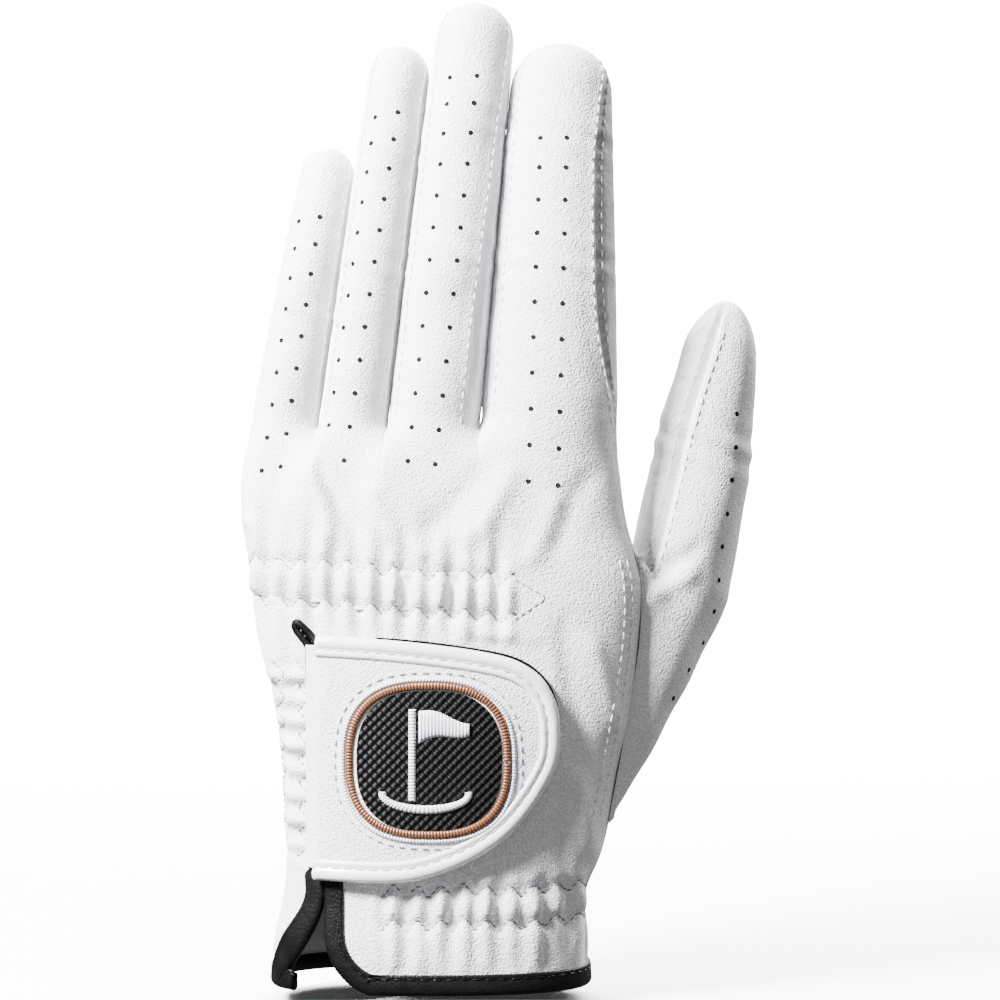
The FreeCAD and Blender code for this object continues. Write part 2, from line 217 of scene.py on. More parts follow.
def hand_relief(x, z, front):
    """How far the cloth stands off the hand's plain shape."""
    rows = knuckle_row(x, False), knuckle_row(x, True)
    relief = shirring(x, z, rows, *KNUCKLE_SPAN, KNUCKLE_PITCH, (9.0, 7.0), 3)
    rows = wrist_row(x, False), wrist_row(x, True)
    relief = relief + 0.8 * shirring(x, z, rows, *WRIST_SPAN, WRIST_PITCH, (6.0, 13.0), 5)
    relief = relief + 0.6 * shirring(z, x, SIDE_ROWS, *SIDE_SPAN, SIDE_PITCH, (1.6, 4.0), 8)
    relief = relief + 1.5 * fold_relief(x, z)
    relief = relief + 0.25 * ripple(x * 1.3, z * 1.1, 11) * window(z, 10, 120, 10)
    relief = relief * (1 - tab_cover(x, z)) - 0.15 * tab_cover(x, z)
    quiet = ease((z - 3.2) / 4)
    palm = 0.45 * ripple(x * 1.8, z * 1.2, 21) + 0.3 * ripple(x * 4, z * 2.5, 22)
    return np.where(front, relief, palm) * quiet


def outward(x, z, front, step=0.4):
    """Unit normals of the hand's plain surface."""
    y = hand_side(x, z, front)
    dx = (hand_side(x + step, z, front) - hand_side(x - step, z, front)) / (2 * step)
    dz = (hand_side(x, z + step, front) - hand_side(x, z - step, front)) / (2 * step)
    sign = np.where(front, -1.0, 1.0)
    n = np.stack([-sign * dx, sign * np.ones_like(y), -sign * dz], -1)
    return unit(n)


def on_back(x, z, height=0.0, relief=True):
    """Points on the back of the hand at x, z, height above its cloth."""
    x, z = np.asarray(x, float), np.asarray(z, float)
    n = outward(x, z, True)
    lift = height + (hand_relief(x, z, True) if relief else 0)
    return np.stack([x, hand_side(x, z, True), z], -1) + n * np.asarray(lift)[..., None]


# ---------------------------------------------------------------- fingers
def turn(points, axis, pivot, angle):
    """Rotates each point about axis through pivot by its own angle."""
    axis = np.asarray(axis, float) / np.linalg.norm(axis)
    p = points - pivot
    c, s = np.cos(angle)[..., None], np.sin(angle)[..., None]
    return (pivot + p * c + np.cross(axis, p) * s
            + axis * (p @ axis)[..., None] * (1 - c))


def finger_length(name):
    return sum(FINGERS[name][4])


def seam_angles(name, s):
    """Back and palm edges of the finger's panels at distance s, by side, in degrees."""
    left_back, right_back, right_palm, left_palm = SEAMS[name]
    ones = np.ones_like(s)
    right = right_back * ones
    share = s / finger_length(name)
    if name == "index":
        right = through(share, (-0.05, 0.06, 0.2, 0.45, 0.7, 0.92, 1.0),
                        (72, 60, 48, 42, 45, 62, 74))
    if name == "middle":
        right = through(share, (-0.05, 0.1, 0.3, 0.6, 0.9, 1.0), (44, 43, 47, 55, 66, 70))
    return -left_back * ones, right, right_palm * ones, (360 - left_palm) * ones


def finger_surface(name, theta, s, lift=0.0):
    """Points on a finger: theta in degrees from the middle of its back, s along it."""
    (root_x, root_y), lean, half_x, half_y, lengths = FINGERS[name]
    length = sum(lengths)
    round_end = half_x[1] * 1.05
    straight = length - round_end
    along = np.clip(s / straight, 0, 1)
    share = np.sqrt(np.clip(1 - ((s - straight) / round_end).clip(0, 1) ** 2, 0, 1))
    share = np.where(s <= straight, 1.0, share)
    a = np.radians(theta)
    wide = half_x[0] + (half_x[1] - half_x[0]) * along
    deep = half_y[0] + (half_y[1] - half_y[0]) * along
    nx, ny = np.sin(a) / wide, -np.cos(a) / deep
    size = np.hypot(nx, ny)
    nz = np.where(s > straight, (s - straight) / round_end ** 2, 0.0)
    normal = np.stack([nx / size * share, ny / size * share, nz * round_end], -1)
    normal = normal / np.maximum(np.linalg.norm(normal, axis=-1, keepdims=True), 1e-6)
    p = np.stack([wide * share * np.sin(a), -deep * share * np.cos(a), s + 0 * a], -1)
    p = p + normal * np.asarray(lift)[..., None]
    folds = (0, lengths[0], lengths[0] + lengths[1])
    for k in (2, 1):
        angle = math.radians(CURL[k]) * ease((s - folds[k] + 7) / 14) + 0 * a
        p = turn(p, (-1, 0, 0), np.array((0, AXIS_BACK, folds[k])), angle)
    t = math.radians(lean)
    x = p[..., 0] * math.cos(t) + p[..., 2] * math.sin(t)
    z = -p[..., 0] * math.sin(t) + p[..., 2] * math.cos(t)
    return np.stack([x + root_x, p[..., 1] + root_y, z + HINGE_Z], -1)


def seam_profile(off):
    """The stood-up edge beside a seam and the groove along it, off millimetres from it."""
    return 0.4 * bell(np.abs(off) - 1.4, 1.1) - 0.75 * bell(off, 0.6)


def seam_relief(theta, seams, radius):
    return sum(seam_profile(np.radians((theta - seam + 180) % 360 - 180) * radius)
               for seam in seams)


def finger_relief(name, theta, s):
    """Soft creases at the knuckles and the seams' relief."""
    lengths = FINGERS[name][4]
    seed = 30 + len(name)
    radius = FINGERS[name][2][0]
    back = (1 + np.cos(np.radians(theta))) / 2
    soft = 0.22 * ripple(theta * 0.25, s * 2.2, seed)
    for k, fold in enumerate((lengths[0], lengths[0] + lengths[1])):
        crease = np.cos((s - fold) * 1.1 + 0.03 * theta + 2 * k)
        soft = soft + (0.16 * back + 0.75 * (1 - back)) * crease * bell(s - fold, 4.5)
    left, right, palm_right, palm_left = seam_angles(name, s)
    seams = [right, palm_left] + ([left] if name != "little" else [])
    seams += [palm_right] if name != "index" else []
    total = finger_length(name)
    fade = window(s, 2, total - 4, 4)
    beside = 1 - 0.8 * np.sin(np.radians(theta)) ** 6
    return beside * (soft * window(s, 4, total - 6, 6) + seam_relief(theta, seams, radius) * fade)


# ---------------------------------------------------------------- meshes
def link(obj):
    bpy.context.scene.collection.objects.link(obj)
    return obj


def make_mesh(name, verts, faces, normals=None, material=None, uv=None):
    """A mesh object from points in millimetres; normals are kept as given if there are any."""
    mesh = bpy.data.meshes.new(name)
    mesh.from_pydata((np.asarray(verts) * MM).tolist(), [], faces)
    mesh.update()
    for polygon in mesh.polygons:
        polygon.use_smooth = True
    if normals is not None:
        mesh.normals_split_custom_set_from_vertices(np.asarray(normals).tolist())
    if uv is not None:
        layer = mesh.uv_layers.new(name="UVMap")
        loops = np.empty(len(mesh.loops), int)
        mesh.loops.foreach_get("vertex_index", loops)
        layer.data.foreach_set("uv", np.asarray(uv, np.float32)[loops].ravel())
    obj = link(bpy.data.objects.new(name, mesh))
    if material:
        mesh.materials.append(material)
    return obj


def vertex_normals(verts, faces):
    verts, quads = np.asarray(verts, float), np.asarray(faces)
    a, b, c, d = (verts[quads[:, k]] for k in range(4))
    n = np.cross(c - a, d - b)
    total = np.zeros_like(verts)
    for k in range(4):
        np.add.at(total, quads[:, k], n)
    return total / np.maximum(np.linalg.norm(total, axis=1, keepdims=True), 1e-9)


def shell(name, verts, normals, faces, thickness, material):
    """A panel of cloth or leather with a real wall, cut out of a larger surface."""
    faces = np.asarray(faces)
    used, inverse = np.unique(faces, return_inverse=True)
    quads = inverse.reshape(faces.shape)
    count = len(used)
    outer, n = verts[used], normals[used]
    edges = dict.fromkeys((a, b) for quad in quads.tolist()
                          for a, b in zip(quad, quad[1:] + quad[:1]) if a != b)
    rims = [(b, a, a + count, b + count) for a, b in edges if (b, a) not in edges]
    outside = [tuple(dict.fromkeys(quad)) for quad in quads.tolist()]
    outside = [f for f in outside if len(f) > 2]
    inside = [tuple(v + count for v in reversed(f)) for f in outside]
    points = np.concatenate([outer, outer - n * thickness])
    return make_mesh(name, points, outside + inside + rims, np.concatenate([n, -n]), material)


# ---------------------------------------------------------------- materials
def linear(hex_colour):
    """sRGB hex to linear RGBA."""
    parts = [int(hex_colour[k:k + 2], 16) / 255 for k in (1, 3, 5)]
    return [*(c / 12.92 if c <= 0.04045 else ((c + 0.055) / 1.055) ** 2.4 for c in parts), 1.0]


def add(tree, kind, inputs=None, **settings):
    """A node with its settings; an input is a value or another node's (node, output)."""
    node = tree.nodes.new(kind)
    for key, value in settings.items():
        setattr(node, key, value)
    for key, value in (inputs or {}).items():
        socket = node.inputs[key]
        if isinstance(value, tuple) and len(value) == 2 and isinstance(value[0], bpy.types.Node):
            tree.links.new(value[0].outputs[value[1]], socket)
        else:
            socket.default_value = value
    return node


def finish(name, colour, roughness, sheen=0.0, coat=0.0, specular=0.5):
    """A material with its flat values set on the shader, and its tree to build on."""
    material = bpy.data.materials.new(name)
    material.use_nodes = True
    tree = material.node_tree
    shader = tree.nodes["Principled BSDF"]
    shader.inputs["Base Color"].default_value = linear(colour)
    shader.inputs["Roughness"].default_value = roughness
    shader.inputs["Sheen Weight"].default_value = sheen
    shader.inputs["Sheen Roughness"].default_value = 0.5
    shader.inputs["Coat Weight"].default_value = coat
    shader.inputs["Coat Roughness"].default_value = 0.15
    shader.inputs["Specular IOR Level"].default_value = specular
    where = add(tree, "ShaderNodeTexCoord")
    return material, tree, shader, where


def tint(tree, shader, factor, dark, light, low=0.3, high=0.7):
    """Colour that runs from dark to light with factor."""
    ramp = add(tree, "ShaderNodeMapRange", {"Value": factor, "From Min": low, "From Max": high})
    mix = add(tree, "ShaderNodeMix", {0: (ramp, 0), 6: linear(dark), 7: linear(light)},
              data_type="RGBA")
    tree.links.new(mix.outputs[2], shader.inputs["Base Color"])


def relief_of(tree, shader, layers):
    """Bump from heights: each layer is (socket, strength, depth in mm)."""
    normal = None
    for source, strength, depth in layers:
        inputs = {"Height": source, "Strength": strength, "Distance": depth * MM}
        if normal is not None:
            inputs["Normal"] = (normal, 0)
        normal = add(tree, "ShaderNodeBump", inputs)
    tree.links.new(normal.outputs[0], shader.inputs["Normal"])


def noise(size, detail, **more):
    """A noise pattern of a size in millimetres: its node, inputs, settings and output."""
    return "ShaderNodeTexNoise", {"Scale": 1 / (size * MM), "Detail": detail, **more}, {}, 0


def cells(size, smoothness):
    return ("ShaderNodeTexVoronoi", {"Scale": 1 / (size * MM), "Smoothness": smoothness},
            {"feature": "SMOOTH_F1"}, 0)


def ribs(size, direction, **more):
    return ("ShaderNodeTexWave", {"Scale": 1 / (WAVE_PERIODS * size * MM), **more},
            {"bands_direction": direction}, 1)


def textured(name, colour, roughness, patterns, tone, bumps, **flat):
    """A material whose colour follows one pattern and whose surface is raised by others."""
    material, tree, shader, where = finish(name, colour, roughness, **flat)
    made = {}
    for label, (kind, inputs, settings, output) in patterns.items():
        node = add(tree, kind, {"Vector": (where, "Object"), **inputs}, **settings)
        made[label] = (node, output)
    tint(tree, shader, made[tone[0]], *tone[1:])
    if bumps:
        relief_of(tree, shader, [(made[label], *rest) for label, *rest in bumps])
    return material


WAVE_PERIODS = 6.3  # a wave texture has this many bands to a unit of its scale

# Knitted microfibre brushed to a nap: matt, faintly mottled, with a velvety edge
SUEDE = textured("microfibre_suede", "#F1F1F3", 0.92,
                 {"nap": noise(0.5, 1.0, Roughness=0.6), "mottle": noise(2.6, 3.0)},
                 ("nap", "#DFE0E3", "#F8F8F9", 0.35, 0.62),
                 [("mottle", 0.4, 0.2), ("nap", 1.0, 0.4)], sheen=0.25, specular=0.25)
# Hair-sheep leather, tumbled soft: fine pebbled grain crossed by stretch wrinkles
LEATHER_SKIN = textured("cabretta_leather", "#D9D9D8", 0.5,
                        {"grain": cells(0.95, 0.5), "wrinkle": noise(5.0, 5.0, Distortion=1.2)},
                        ("wrinkle", "#A9A9A7", "#C6C6C4", 0.3, 0.7),
                        [("wrinkle", 0.5, 0.5), ("grain", 0.5, 0.2)], specular=0.4)
# Warp-knitted stretch cloth between the fingers: fine ribs, slightly bright
TRICOT = textured("stretch_tricot", "#EEEEF1", 0.8,
                  {"ribs": ribs(0.8, "X", Distortion=0.6), "fibre": noise(0.5, 3.0)},
                  ("fibre", "#E3E3E8", "#F4F4F6", 0.3, 0.7),
                  [("ribs", 0.3, 0.12), ("fibre", 0.4, 0.1)], sheen=0.15, specular=0.3)
# Calendered PVC folded round an edge: glossy white, faintly grained, soft waves
VINYL = textured("coated_vinyl", "#F5F5F6", 0.28,
                 {"wave": noise(3.0, 3.0), "grain": noise(0.5, 2.0)},
                 ("wave", "#ECECEE", "#F8F8F9", 0.3, 0.7),
                 [("wave", 0.4, 0.3), ("grain", 0.2, 0.05)], coat=0.35)
# Thin PU-coated cloth cut as binding tape: black, satin, pebbled
TAPE = textured("black_leatherette", "#060607", 0.4,
                {"grain": cells(0.6, 0.4), "wave": noise(4, 3.0)},
                ("wave", "#040405", "#0B0B0C", 0.35, 0.65),
                [("wave", 0.4, 0.4), ("grain", 0.5, 0.15)], specular=0.22)
# Napped nylon loops: black and fuzzy, with no shine
LOOPS = textured("napped_nylon", "#070708", 0.95, {"fuzz": noise(0.7, 5.0, Roughness=0.7)},
                 ("fuzz", "#040404", "#0E0E10", 0.35, 0.7), [("fuzz", 0.9, 0.5)],
                 sheen=0.05, specular=0.1)
# Braided elastic tape behind the gathers
ELASTIC = textured("braided_elastic", "#E8E8EA", 0.8, {"ribs": ribs(1.0, "Z")},
                   ("ribs", "#D5D5D9", "#EFEFF1", 0.2, 0.8), [("ribs", 0.6, 0.2)])
# The shadow inside a hole punched through the cloth, with torn fibres at its lip
HOLE = textured("punched_hole", "#141415", 1.0, {"lint": noise(0.3, 2.0)},
                ("lint", "#0C0C0D", "#2C2C2E", 0.4, 0.75), [], specular=0.1)


def polyester_thread(name, dark, light):
    # Twisted polyester sewing thread: a soft shine and fine ply marks
    return textured(name, light, 0.55, {"ply": noise(0.35, 2.0)},
                    ("ply", dark, light, 0.35, 0.6), [("ply", 0.5, 0.08)], sheen=0.2)


THREAD = polyester_thread("white_thread", "#C6C6D2", "#F4F4FA")
LILAC_THREAD = polyester_thread("lilac_thread", "#9C9CC2", "#D0D0E6")
# thread for the elastic's zigzags: a darker copy of the lilac thread, its darkness painted shade of
# the grooves that the elastic pulls in the cloth
PAINTED_SHADE_THREAD = polyester_thread("painted_shade_thread", "#5A5A6C", "#8E8EA0")


def ballistic_nylon():
    # Coarse plain-woven nylon: black yarns a millimetre wide, whose crowns in turn carry painted
    # highlights
    material, tree, shader, where = finish("ballistic_nylon", "#0A0A0B", 0.5, specular=0.15)
    yarn = 1.05 * MM
    parts = add(tree, "ShaderNodeSeparateXYZ", {0: (where, "Object")})

    def maths(operation, first, second=None):
        inputs = {0: first} if second is None else {0: first, 1: second}
        return add(tree, "ShaderNodeMath", inputs, operation=operation), 0

    across, up = (maths("SINE", maths("MULTIPLY", (parts, axis), math.pi / yarn))
                  for axis in (0, 2))
    weave = maths("MULTIPLY", across, up)
    bright = add(tree, "ShaderNodeTexNoise", {"Vector": (where, "Object"),
                                              "Scale": 1 / (0.9 * MM), "Detail": 2.0})
    # painted highlight: the colour turns grey on the crown of each yarn, varied by noise
    painted_highlight = maths("MULTIPLY", weave, (bright, 0))
    tint(tree, shader, painted_highlight, "#050505", "#1D1D21", 0.1, 0.5)
    relief_of(tree, shader, [(weave, 0.8, 0.25)])
    return material


def satin_stitch(name, dark, light):
    # Rayon embroidery thread laid side by side across a band: silky ridges
    material, tree, shader, where = finish(name, light, 0.38, sheen=0.3)
    thread = 0.36  # millimetres, a little coarser than real ones, so that they show
    apart = add(tree, "ShaderNodeMapping", {"Vector": (where, "UV"), "Scale": (1.0, 0.12, 1.0)})
    threads = add(tree, "ShaderNodeTexWave", {
        "Vector": (apart, 0), "Scale": 1 / (WAVE_PERIODS * thread), "Distortion": 0.5},
        bands_direction="X")
    tint(tree, shader, (threads, 1), dark, light, 0.15, 0.6)
    relief_of(tree, shader, [((threads, 1), 0.7, 0.15)])
    return material


NYLON = ballistic_nylon()
COPPER_SATIN = satin_stitch("copper_rayon", "#351704", "#7A4113")
WHITE_SATIN = satin_stitch("white_rayon", "#B4B4C6", "#FBFBFD")


# ---------------------------------------------------------------- repeated details
def tree_with(name, sockets):
    tree = bpy.data.node_groups.new(name, "GeometryNodeTree")
    for label, kind in (("Geometry", "NodeSocketGeometry"), *sockets):
        tree.interface.new_socket(name=label, in_out="INPUT", socket_type=kind)
    tree.interface.new_socket(name="Geometry", in_out="OUTPUT", socket_type="NodeSocketGeometry")
    return tree, add(tree, "NodeGroupInput")


def close_tree(tree, geometry, entry):
    whole = add(tree, "GeometryNodeRealizeInstances", {0: geometry})
    smooth = add(tree, "GeometryNodeSetShadeSmooth", {0: (whole, 0)})
    painted = add(tree, "GeometryNodeSetMaterial", {
        0: (smooth, 0), "Material": (entry, "Material")})
    add(tree, "NodeGroupOutput", {0: (painted, 0)})
    return tree


def stitch_tree():
    """Stitches laid end to end along every path of edges."""
    tree, entry = tree_with("sewn_stitches", (
        ("Stitch length", "NodeSocketFloat"), ("Gap", "NodeSocketFloat"),
        ("Thread radius", "NodeSocketFloat"), ("Material", "NodeSocketMaterial")))
    path = add(tree, "GeometryNodeMeshToCurve", {0: (entry, "Geometry")})
    pitch = add(tree, "ShaderNodeMath", {0: (entry, "Stitch length"), 1: (entry, "Gap")},
                operation="ADD")
    spaced = add(tree, "GeometryNodeResampleCurve", {0: (path, 0), "Length": (pitch, 0)},
                 mode="LENGTH")
    tangent = add(tree, "GeometryNodeInputTangent")
    turned = add(tree, "FunctionNodeAlignRotationToVector", {"Vector": (tangent, 0)}, axis="Z")
    half = add(tree, "ShaderNodeMath", {0: (entry, "Stitch length"), 1: 0.5}, operation="MULTIPLY")
    size = add(tree, "ShaderNodeCombineXYZ", {0: (entry, "Thread radius"),
                                              1: (entry, "Thread radius"), 2: (half, 0)})
    stitch = add(tree, "GeometryNodeMeshUVSphere", {"Segments": 6, "Rings": 5, "Radius": 1.0})
    laid = add(tree, "GeometryNodeInstanceOnPoints", {
        "Points": (spaced, 0), "Instance": (stitch, 0), "Rotation": (turned, 0),
        "Scale": (size, 0)})
    return close_tree(tree, (laid, 0), entry)


def hole_tree():
    """A round hole at every point, facing along the point's own outward direction."""
    tree, entry = tree_with("punched_holes", (("Radius", "NodeSocketFloat"),
                                              ("Material", "NodeSocketMaterial")))
    points = add(tree, "GeometryNodeMeshToPoints", {0: (entry, "Geometry")})
    out = add(tree, "GeometryNodeInputNamedAttribute", {"Name": "out"}, data_type="FLOAT_VECTOR")
    turned = add(tree, "FunctionNodeAlignRotationToVector", {"Vector": (out, 0)}, axis="Z")
    disc = add(tree, "GeometryNodeMeshCircle", {"Vertices": 12, "Radius": (entry, "Radius")},
               fill_type="NGON")
    laid = add(tree, "GeometryNodeInstanceOnPoints", {
        "Points": (points, 0), "Instance": (disc, 0), "Rotation": (turned, 0)})
    return close_tree(tree, (laid, 0), entry)


STITCHES, HOLES = stitch_tree(), hole_tree()


def grow(name, verts, edges, tree, values, out=None):
    """Runs a tree on points or paths and returns its plain mesh as an object."""
    mesh = bpy.data.meshes.new(name)
    mesh.from_pydata((np.asarray(verts) * MM).tolist(), edges, [])
    if out is not None:
        attribute = mesh.attributes.new("out", "FLOAT_VECTOR", "POINT")
        attribute.data.foreach_set("vector", np.asarray(out, np.float32).ravel())
    seed = link(bpy.data.objects.new(name + "_seed", mesh))
    modifier = seed.modifiers.new("grow", "NODES")
    modifier.node_group = tree
    for item in tree.interface.items_tree:
        if item.in_out == "INPUT" and item.name in values:
            modifier[item.identifier] = values[item.name]
    bpy.context.view_layer.update()
    ready = seed.evaluated_get(bpy.context.evaluated_depsgraph_get())
    plain = bpy.data.meshes.new_from_object(ready)
    plain.name = name
    bpy.data.objects.remove(seed)
    return link(bpy.data.objects.new(name, plain))


def sew(name, rows, length=1.9, gap=0.8, radius=0.2, thread=THREAD):
    """Rows of stitches; each row is an array of points in millimetres."""
    verts, edges = [], []
    for row in rows:
        edges += [(len(verts) + k, len(verts) + k + 1) for k in range(len(row) - 1)]
        verts += [tuple(p) for p in row]
    return grow(name, verts, edges, STITCHES, {
        "Stitch length": length * MM, "Gap": gap * MM, "Thread radius": radius * MM,
        "Material": thread})


# ---------------------------------------------------------------- the sewn skin
COLUMNS = (6, 26, 6, 6, 22, 6)  # from the little-finger side round the back, then the palm
FRONT = sum(COLUMNS[:3])
AROUND = sum(COLUMNS)
ORDER = list(FINGERS)
HAND_ROWS = 196
FINGER_STEP = 0.85  # from one row of a finger's skin to the next
CAP_ANGLES = np.linspace(0, 90, 15)[1:]  # rows of a fingertip, as degrees up its dome
BLEND_FROM = 102  # the hand begins here to take the shape of the fingers' roots


def column_angles(name, s):
    """The angle of every column of a finger at distances s."""
    s = np.asarray(s, float)
    left, right, right_palm, left_palm = seam_angles(name, s)
    ones = np.ones_like(s)
    stops = [-90 * ones, left, right, 90 * ones, right_palm, left_palm, 270 * ones]
    columns = []
    for k, count in enumerate(COLUMNS):
        share = np.arange(count) / count
        columns.append(stops[k][:, None] + (stops[k + 1] - stops[k])[:, None] * share)
    return np.concatenate(columns, 1)


def finger_rows(name):
    _, _, half_x, _, lengths = FINGERS[name]
    length, round_end = sum(lengths), half_x[1] * 1.05
    straight = length - round_end
    plain = np.linspace(ROOT_ROW, straight, int((straight - ROOT_ROW) / FINGER_STEP))
    angles = np.radians(CAP_ANGLES)
    return np.concatenate([plain, straight + round_end * np.sin(angles)])


SOFTENINGS = 14  # passes that ease the surface round the roots of the fingers


class Skin:
    """One continuous surface: the hand, its fingers and its thumb, cut into panels later."""

    def __init__(self):
        self.verts, self.relief, self.quads, self.labels = [], [], [], []

    def add(self, points, relief):
        start = sum(len(v) for v in self.verts)
        self.verts.append(np.asarray(points, float).reshape(-1, 3))
        self.relief.append(np.asarray(relief, float).reshape(-1))
        return start

    def panel(self, label, quads):
        self.quads += quads
        self.labels += [label] * len(quads)

    def close(self):
        verts = np.concatenate(self.verts)
        quads = np.array(self.quads)
        edges = np.concatenate([quads[:, [k, (k + 1) % 4]] for k in range(4)])
        edges = edges[edges[:, 0] != edges[:, 1]]
        count = np.maximum(np.bincount(edges.ravel(), minlength=len(verts)), 1)[:, None]
        soften = (window(verts[:, 2], 120, 130, 5.0) * (verts[:, 0] < 44))[:, None]
        for _ in range(SOFTENINGS):
            total = np.zeros_like(verts)
            np.add.at(total, edges[:, 0], verts[edges[:, 1]])
            np.add.at(total, edges[:, 1], verts[edges[:, 0]])
            verts = verts + soften * 0.6 * (total / count - verts)
        normals = vertex_normals(verts, quads)
        verts = verts + normals * np.concatenate(self.relief)[:, None]
        self.points, self.normals = verts, vertex_normals(verts, quads)
        self.faces = quads
        self.label_of = np.array(self.labels)
        self.tree = BVHTree.FromPolygons([Vector(v) for v in verts],
                                         [list(dict.fromkeys(q.tolist())) for q in quads])

    def cut(self, name, labels, material, drop=None, thickness=LEATHER):
        chosen = np.isin(self.label_of, labels)
        faces = self.faces[chosen]
        if drop is not None:
            middle = self.points[faces].mean(1)
            faces = faces[~drop(middle)]
        return shell(name, self.points, self.normals, faces, thickness, material)

    def settle(self, points, height=0.1):
        """The nearest places on the surface, and their normals."""
        placed, out = [], []
        for p in np.asarray(points, float):
            at, normal, _, _ = self.tree.find_nearest(Vector(p))
            placed.append(np.array(at) + np.array(normal) * height)
            out.append(np.array(normal))
        return np.array(placed), np.array(out)

    def from_front(self, x, z, height=0.1):
        """The place seen at x, z from in front of the back of the hand."""
        at, normal, _, _ = self.tree.ray_cast(Vector((x, -120, z)), Vector((0, 1, 0)))
        if at is None:
            return None
        return np.array(at) + np.array(normal) * height, np.array(normal)


skin = Skin()


def zone_limits(name):
    """Distances along a finger where its skin is cut from one fold's piece to the next."""
    lengths = FINGERS[name][4]
    return lengths[0] * 0.5 + 2, lengths[0] + lengths[1] * 0.5


def panel_of(name, interval):
    if name == "little" and interval in (0, 5, 1):
        return "back"
    if name == "index" and interval in (2, 3, 4):
        return "palm"
    return {0: "fourchettes", 1: "back", 2: "fourchettes", 3: "fourchettes", 4: "palm",
            5: "fourchettes"}[interval]


INTERVAL = np.repeat(np.arange(6), COLUMNS)


def hand_ring():
    """(finger, column, on the back of the hand) of every place round the hand's top edge."""
    ring = [(f, j, True) for f in ORDER for j in range(FRONT + 1)]
    for f in reversed(ORDER):
        first = FRONT + 1 if f == "index" else FRONT
        last = AROUND - 1 if f == "little" else AROUND
        ring += [(f, j, False) for j in range(first, last + 1)]
    return ring


def build_hand():
    ring = hand_ring()
    angle = {f: column_angles(f, [ROOT_ROW])[0] for f in ORDER}
    top, theta = [], []
    for f, j, _ in ring:
        a = angle[f][j % AROUND] if j < AROUND else angle[f][0]
        top.append(finger_surface(f, np.array(a), np.array(ROOT_ROW)))
        theta.append(a)
    top, theta = np.array(top), np.radians(np.array(theta))
    front = np.array([r[2] for r in ring])
    share = (top[:, 0] - top[:, 0].min()) / np.ptp(top[:, 0])
    start_z = HINGE_Z + ROOT_ROW
    rows = np.linspace(start_z, 0.0, HAND_ROWS)
    grid, relief = [], []
    for z in rows:
        t = max(0.0, min(1.0, (z - BLEND_FROM) / (start_z - BLEND_FROM)))
        w = t ** (1.5 + 4.0 * np.sin(theta) ** 2)
        cx, _, half_x, _ = hand_size(z)
        x = cx - half_x + 2 * half_x * share
        zz = np.full_like(x, z)
        y = hand_side(x, zz, front)
        plain = np.stack([x, y, zz], -1)
        lifted = top + np.array([0, 0, z - start_z])
        grid.append(plain + (lifted - plain) * w[:, None])
        edge = ease((1 - np.abs(2 * share - 1)) / 0.02)
        fade = 1 - ease((z - 112) / 14)
        relief.append(hand_relief(x, zz, front) * (0.35 + 0.65 * edge) * max(fade, 0.0))
    base = skin.add(np.array(grid), np.array(relief))
    count = len(ring)
    at = {}
    for k, (f, j, _) in enumerate(ring):
        at.setdefault((f, j % AROUND), k)
    alias = [at[(f, j % AROUND)] for f, j, _ in ring]
    quads = {"back_panel": [], "palm_panel": []}
    for r in range(len(rows) - 1):
        for k in range(count):
            k2 = (k + 1) % count
            f, j, is_front = ring[k]
            upper = (alias[k], alias[k2]) if r == 0 else (k, k2)
            quad = (base + r * count + upper[0], base + (r + 1) * count + k,
                    base + (r + 1) * count + k2, base + r * count + upper[1])
            interval = INTERVAL[j] if j < AROUND else 5
            palm = not is_front
            if f == "index" and is_front and interval == 2:
                palm = True
            if f == "little" and not is_front and j < AROUND and interval == 5:
                palm = False
            quads["palm_panel" if palm else "back_panel"].append(quad)
    for label, faces in quads.items():
        skin.panel(label, faces)
    return base, at


def build_finger(name, base, at):
    s = finger_rows(name)
    angles = column_angles(name, s)
    relief = finger_relief(name, angles, s[:, None] + 0 * angles)
    points = finger_surface(name, angles, s[:, None] + 0 * angles)
    fade = ease((s - 1) / 6)[:, None]
    start = skin.add(points[1:-1], (relief * fade)[1:-1])
    pole = skin.add(points[-1, :1], [0.0])
    count = len(s)
    cuts = zone_limits(name)

    def index(r, j):
        j %= AROUND
        if r == 0:
            return base + at[(name, j)]
        if r == count - 1:
            return pole
        return start + (r - 1) * AROUND + j

    groups = {}
    for r in range(count - 1):
        middle = (s[r] + s[r + 1]) / 2
        segment = SEGMENTS[int(middle > cuts[0]) + int(middle > cuts[1])]
        for j in range(AROUND):
            label = f"{name}_{segment}_{panel_of(name, INTERVAL[j])}"
            quad = (index(r + 1, j), index(r, j), index(r, j + 1), index(r + 1, j + 1))
            groups.setdefault(label, []).append(quad)
    for label, faces in groups.items():
        skin.panel(label, faces)


hand_base, ring_at = build_hand()
for finger in ORDER:
    build_finger(finger, hand_base, ring_at)


# Thumb: a gusset on the hand's side, then the shaft and tip
THUMB_AROUND = (24, 40)
THUMB_ROUND = 12.0  # length of its rounded end
THUMB_RADIUS = 11
THUMB_LENGTH = np.linalg.norm(THUMB_TIP - THUMB_FOLDS[1])


def thumb_centre(q):
    """The thumb's middle line: q is 0 at its root fold, 1 at its knuckle and 2 at its tip."""
    stops = np.array([THUMB_FOLDS[0], THUMB_FOLDS[1], THUMB_TIP])
    return np.array([through(q, (0, 1, 2), stops[:, k]) for k in range(3)])


def thumb_frame(q):
    way = thumb_centre(min(q + 0.02, 2)) - thumb_centre(max(q - 0.02, 0))
    if q < 0.3:
        lean = np.array((22, 3.5, 26.0))
        way = way / np.linalg.norm(way) + (lean / np.linalg.norm(lean)) * (0.3 - q) * 2.2
    way = way / np.linalg.norm(way)
    across = np.cross(way, THUMB_BEND)
    across = across / np.linalg.norm(across)
    return way, across, np.cross(across, way)


